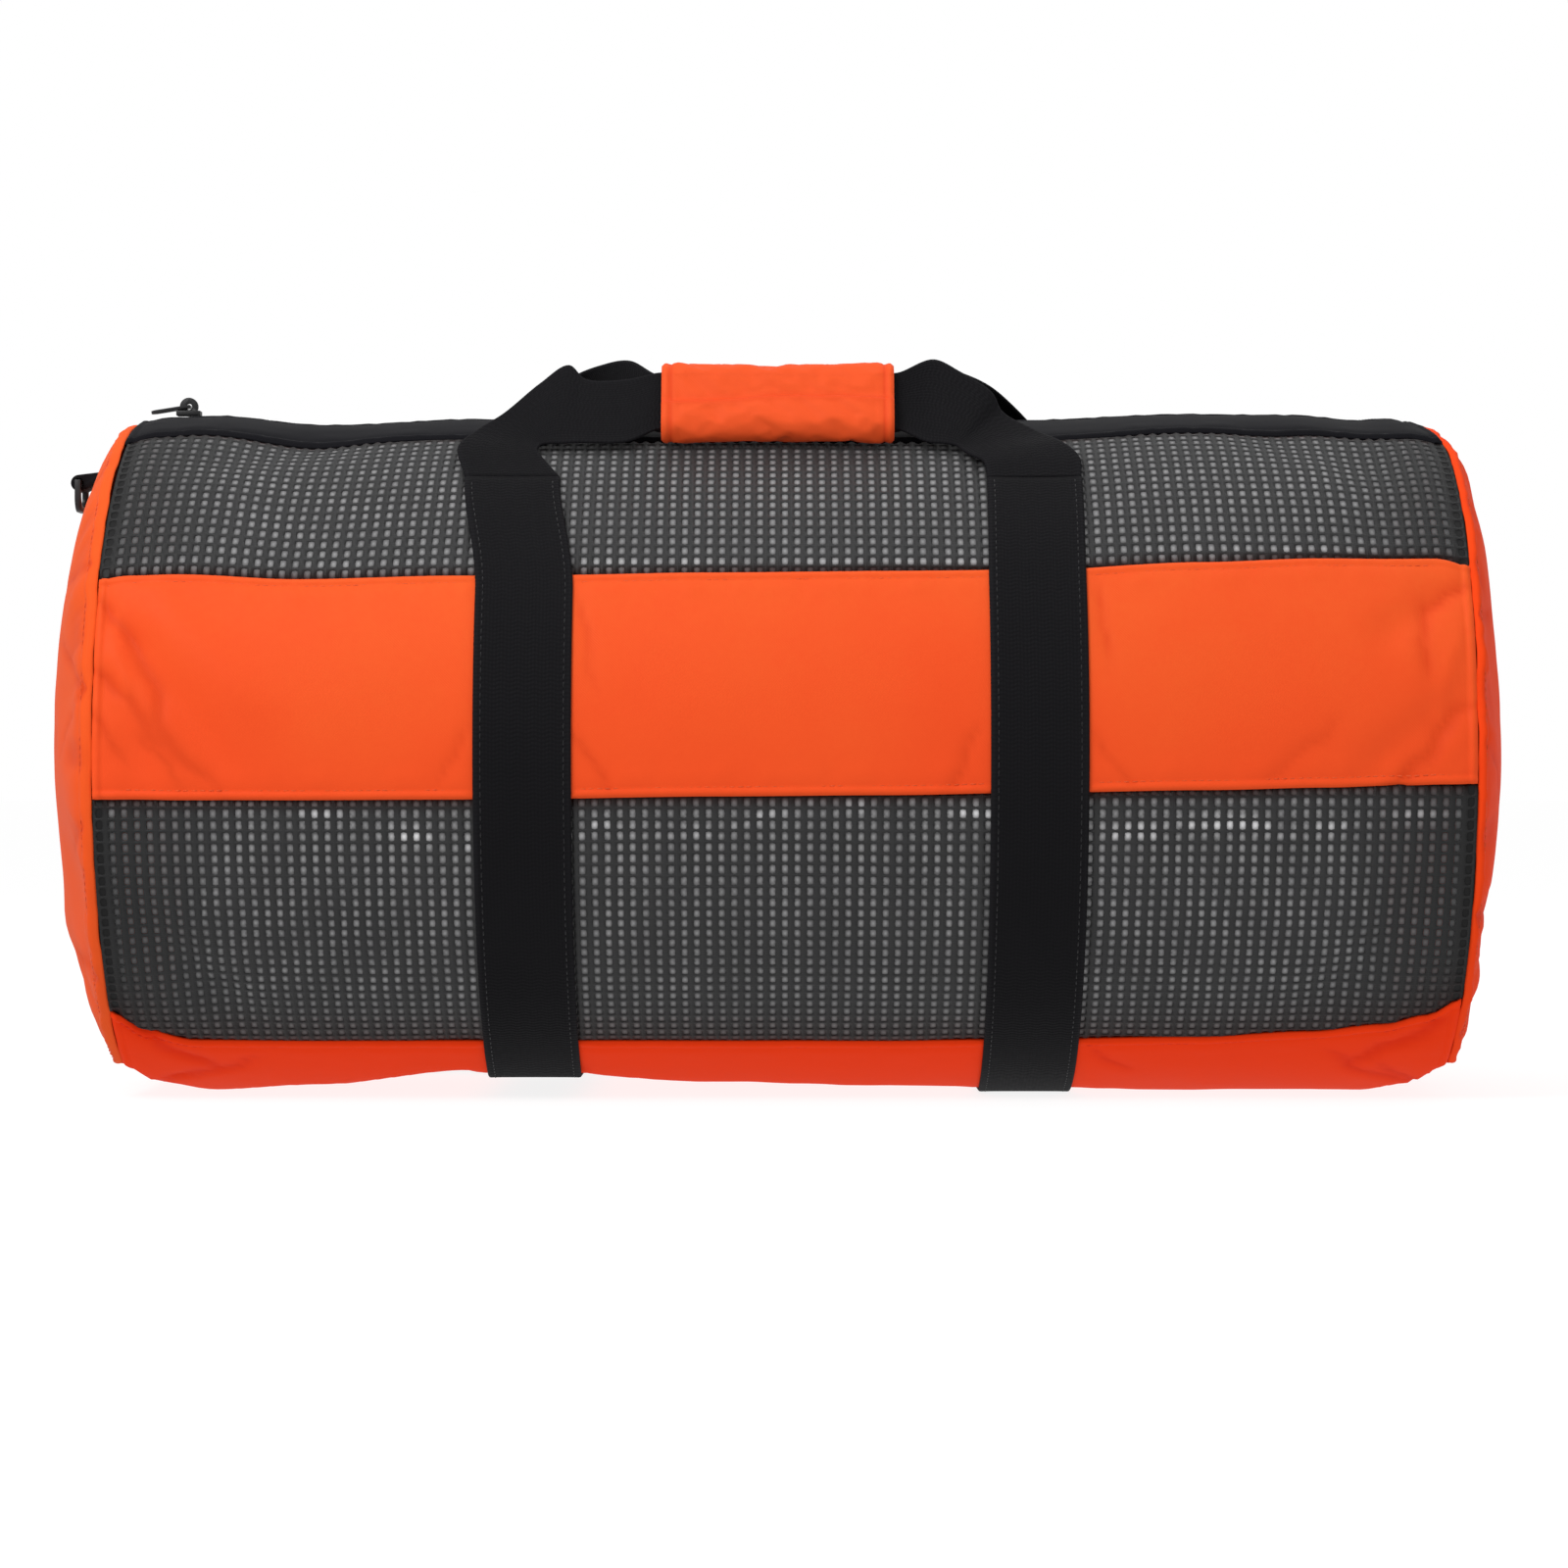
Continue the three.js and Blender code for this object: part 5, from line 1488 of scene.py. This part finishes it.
class BAG_OT_stage(bpy.types.Operator):
    """Builds the pale floor, the soft studio lights and the camera"""

    bl_idname = "bag.stage"
    bl_label = "Stage"

    @staticmethod
    def studio_world():
        """White where the camera looks past the bag. As light it fades from the top of the room,
        past its pale walls, to a duller floor."""
        world = bpy.data.worlds.new("studio")
        world.use_nodes = True
        tree = world.node_tree
        backdrop = tree.nodes["Background"]
        backdrop.inputs["Color"].default_value = (1, 1, 1, 1)
        room = tree.nodes.new("ShaderNodeBackground")
        coordinates = tree.nodes.new("ShaderNodeTexCoord")
        split = tree.nodes.new("ShaderNodeSeparateXYZ")
        height = tree.nodes.new("ShaderNodeMapRange")
        height.interpolation_type = "SMOOTHSTEP"
        for socket, value in (("From Min", -0.6), ("From Max", 0.6), ("To Min", 1.10), ("To Max", 0.74)):
            height.inputs[socket].default_value = value
        path = tree.nodes.new("ShaderNodeLightPath")
        mix = tree.nodes.new("ShaderNodeMixShader")
        for source, output, target, slot in (
            (coordinates, "Generated", split, 0), (split, "Z", height, "Value"),
            (height, 0, room, "Strength"), (path, "Is Camera Ray", mix, 0), (room, 0, mix, 1),
            (backdrop, 0, mix, 2), (mix, 0, tree.nodes["World Output"], "Surface"),
        ):
            tree.links.new(source.outputs[output], target.inputs[slot])
        return world

    def execute(self, context):
        scene = context.scene
        turn = np.radians(np.arange(0, 360, 5))
        ring = np.stack([np.cos(turn), np.sin(turn)], axis=-1)
        reach = (0.6, 1.5, 4.0, 12.0, 40.0)
        count = len(turn)
        rows = [np.concatenate([ring * r, np.full((count, 1), FLOOR_HEIGHT)], axis=1) for r in reach]
        points = np.concatenate([[[0, 0, FLOOR_HEIGHT]], *rows])
        place = np.arange(count)
        fan = np.stack([np.zeros(count, int), 1 + place, 1 + (place + 1) % count], axis=-1)
        rest = grid_quads(len(rows), count, 1, wrap=True)[:, ::-1]
        floor = make_mesh("floor", points, [fan, rest], body=None)
        pale = Finish(
            "pale floor", Base_Color=(0.22, 0.22, 0.22, 1), Roughness=0.9, Specular_IOR_Level=0.0,
            Emission_Color=(1, 1, 1, 1), Emission_Strength=0.86)
        floor.data.materials.append(pale.material)
        floor.visible_diffuse = False
        floor.visible_glossy = False
        scene.world = self.studio_world()

        def area_light(name, place, target, size, power):
            """A soft lamp that is turned to its target."""
            data = bpy.data.lights.new(name, "AREA")
            data.shape = "RECTANGLE"
            data.size, data.size_y = size
            data.energy = power
            lamp = bpy.data.objects.new(name, data)
            scene.collection.objects.link(lamp)
            lamp.location = place
            direction = Vector(target) - Vector(place)
            lamp.rotation_euler = direction.to_track_quat("-Z", "Y").to_euler()

        area_light("key light", (-1.2, -1.7, 1.9), (0, 0, 0.2), (1.2, 0.9), 40)
        area_light("top light", (0.3, 0.1, 2.3), (0, 0, 0.3), (1.8, 1.2), 11)

        camera = bpy.data.objects.new("camera", bpy.data.cameras.new("camera"))
        scene.collection.objects.link(camera)
        camera.location = (SHIFT[0] - 0.0005, SHIFT[1] - CAMERA_DISTANCE, CAMERA_HEIGHT)
        camera.rotation_euler = (math.radians(90), 0, 0)
        camera.data.sensor_width = SENSOR_WIDTH
        camera.data.lens = SENSOR_WIDTH * FOCAL_LENGTH_PX / PHOTO_WIDTH_PX
        scene.camera = camera
        scene.view_settings.view_transform = "Standard"
        return {"FINISHED"}


STEPS = (
    BAG_OT_cloth, BAG_OT_ends, BAG_OT_nets, BAG_OT_webbing, BAG_OT_grip, BAG_OT_fittings,
    BAG_OT_stitching, BAG_OT_stage,
)


class BAG_PT_panel(bpy.types.Panel):
    """Lists the bag's sizes, colours and building steps"""

    bl_idname = "BAG_PT_panel"
    bl_label = "Mesh duffel bag"
    bl_space_type = "VIEW_3D"
    bl_region_type = "UI"
    bl_category = "Bag"

    def draw(self, context):
        for group in (context.scene.bag_sizes, context.scene.bag_colours):
            box = self.layout.box()
            for name in group.__annotations__:
                box.prop(group, name)
        for step in STEPS:
            self.layout.operator(step.bl_idname)


CLASSES = (BagSizes, BagColours, *STEPS, BAG_PT_panel)


def register():
    for cls in CLASSES:
        bpy.utils.register_class(cls)
    bpy.types.Scene.bag_sizes = PointerProperty(type=BagSizes)
    bpy.types.Scene.bag_colours = PointerProperty(type=BagColours)


def unregister():
    del bpy.types.Scene.bag_colours
    del bpy.types.Scene.bag_sizes
    for cls in reversed(CLASSES):
        bpy.utils.unregister_class(cls)


def main():
    register()
    for step in STEPS:
        getattr(bpy.ops.bag, step.bl_idname.split(".")[1])()


if __name__ == "__main__":
    main()
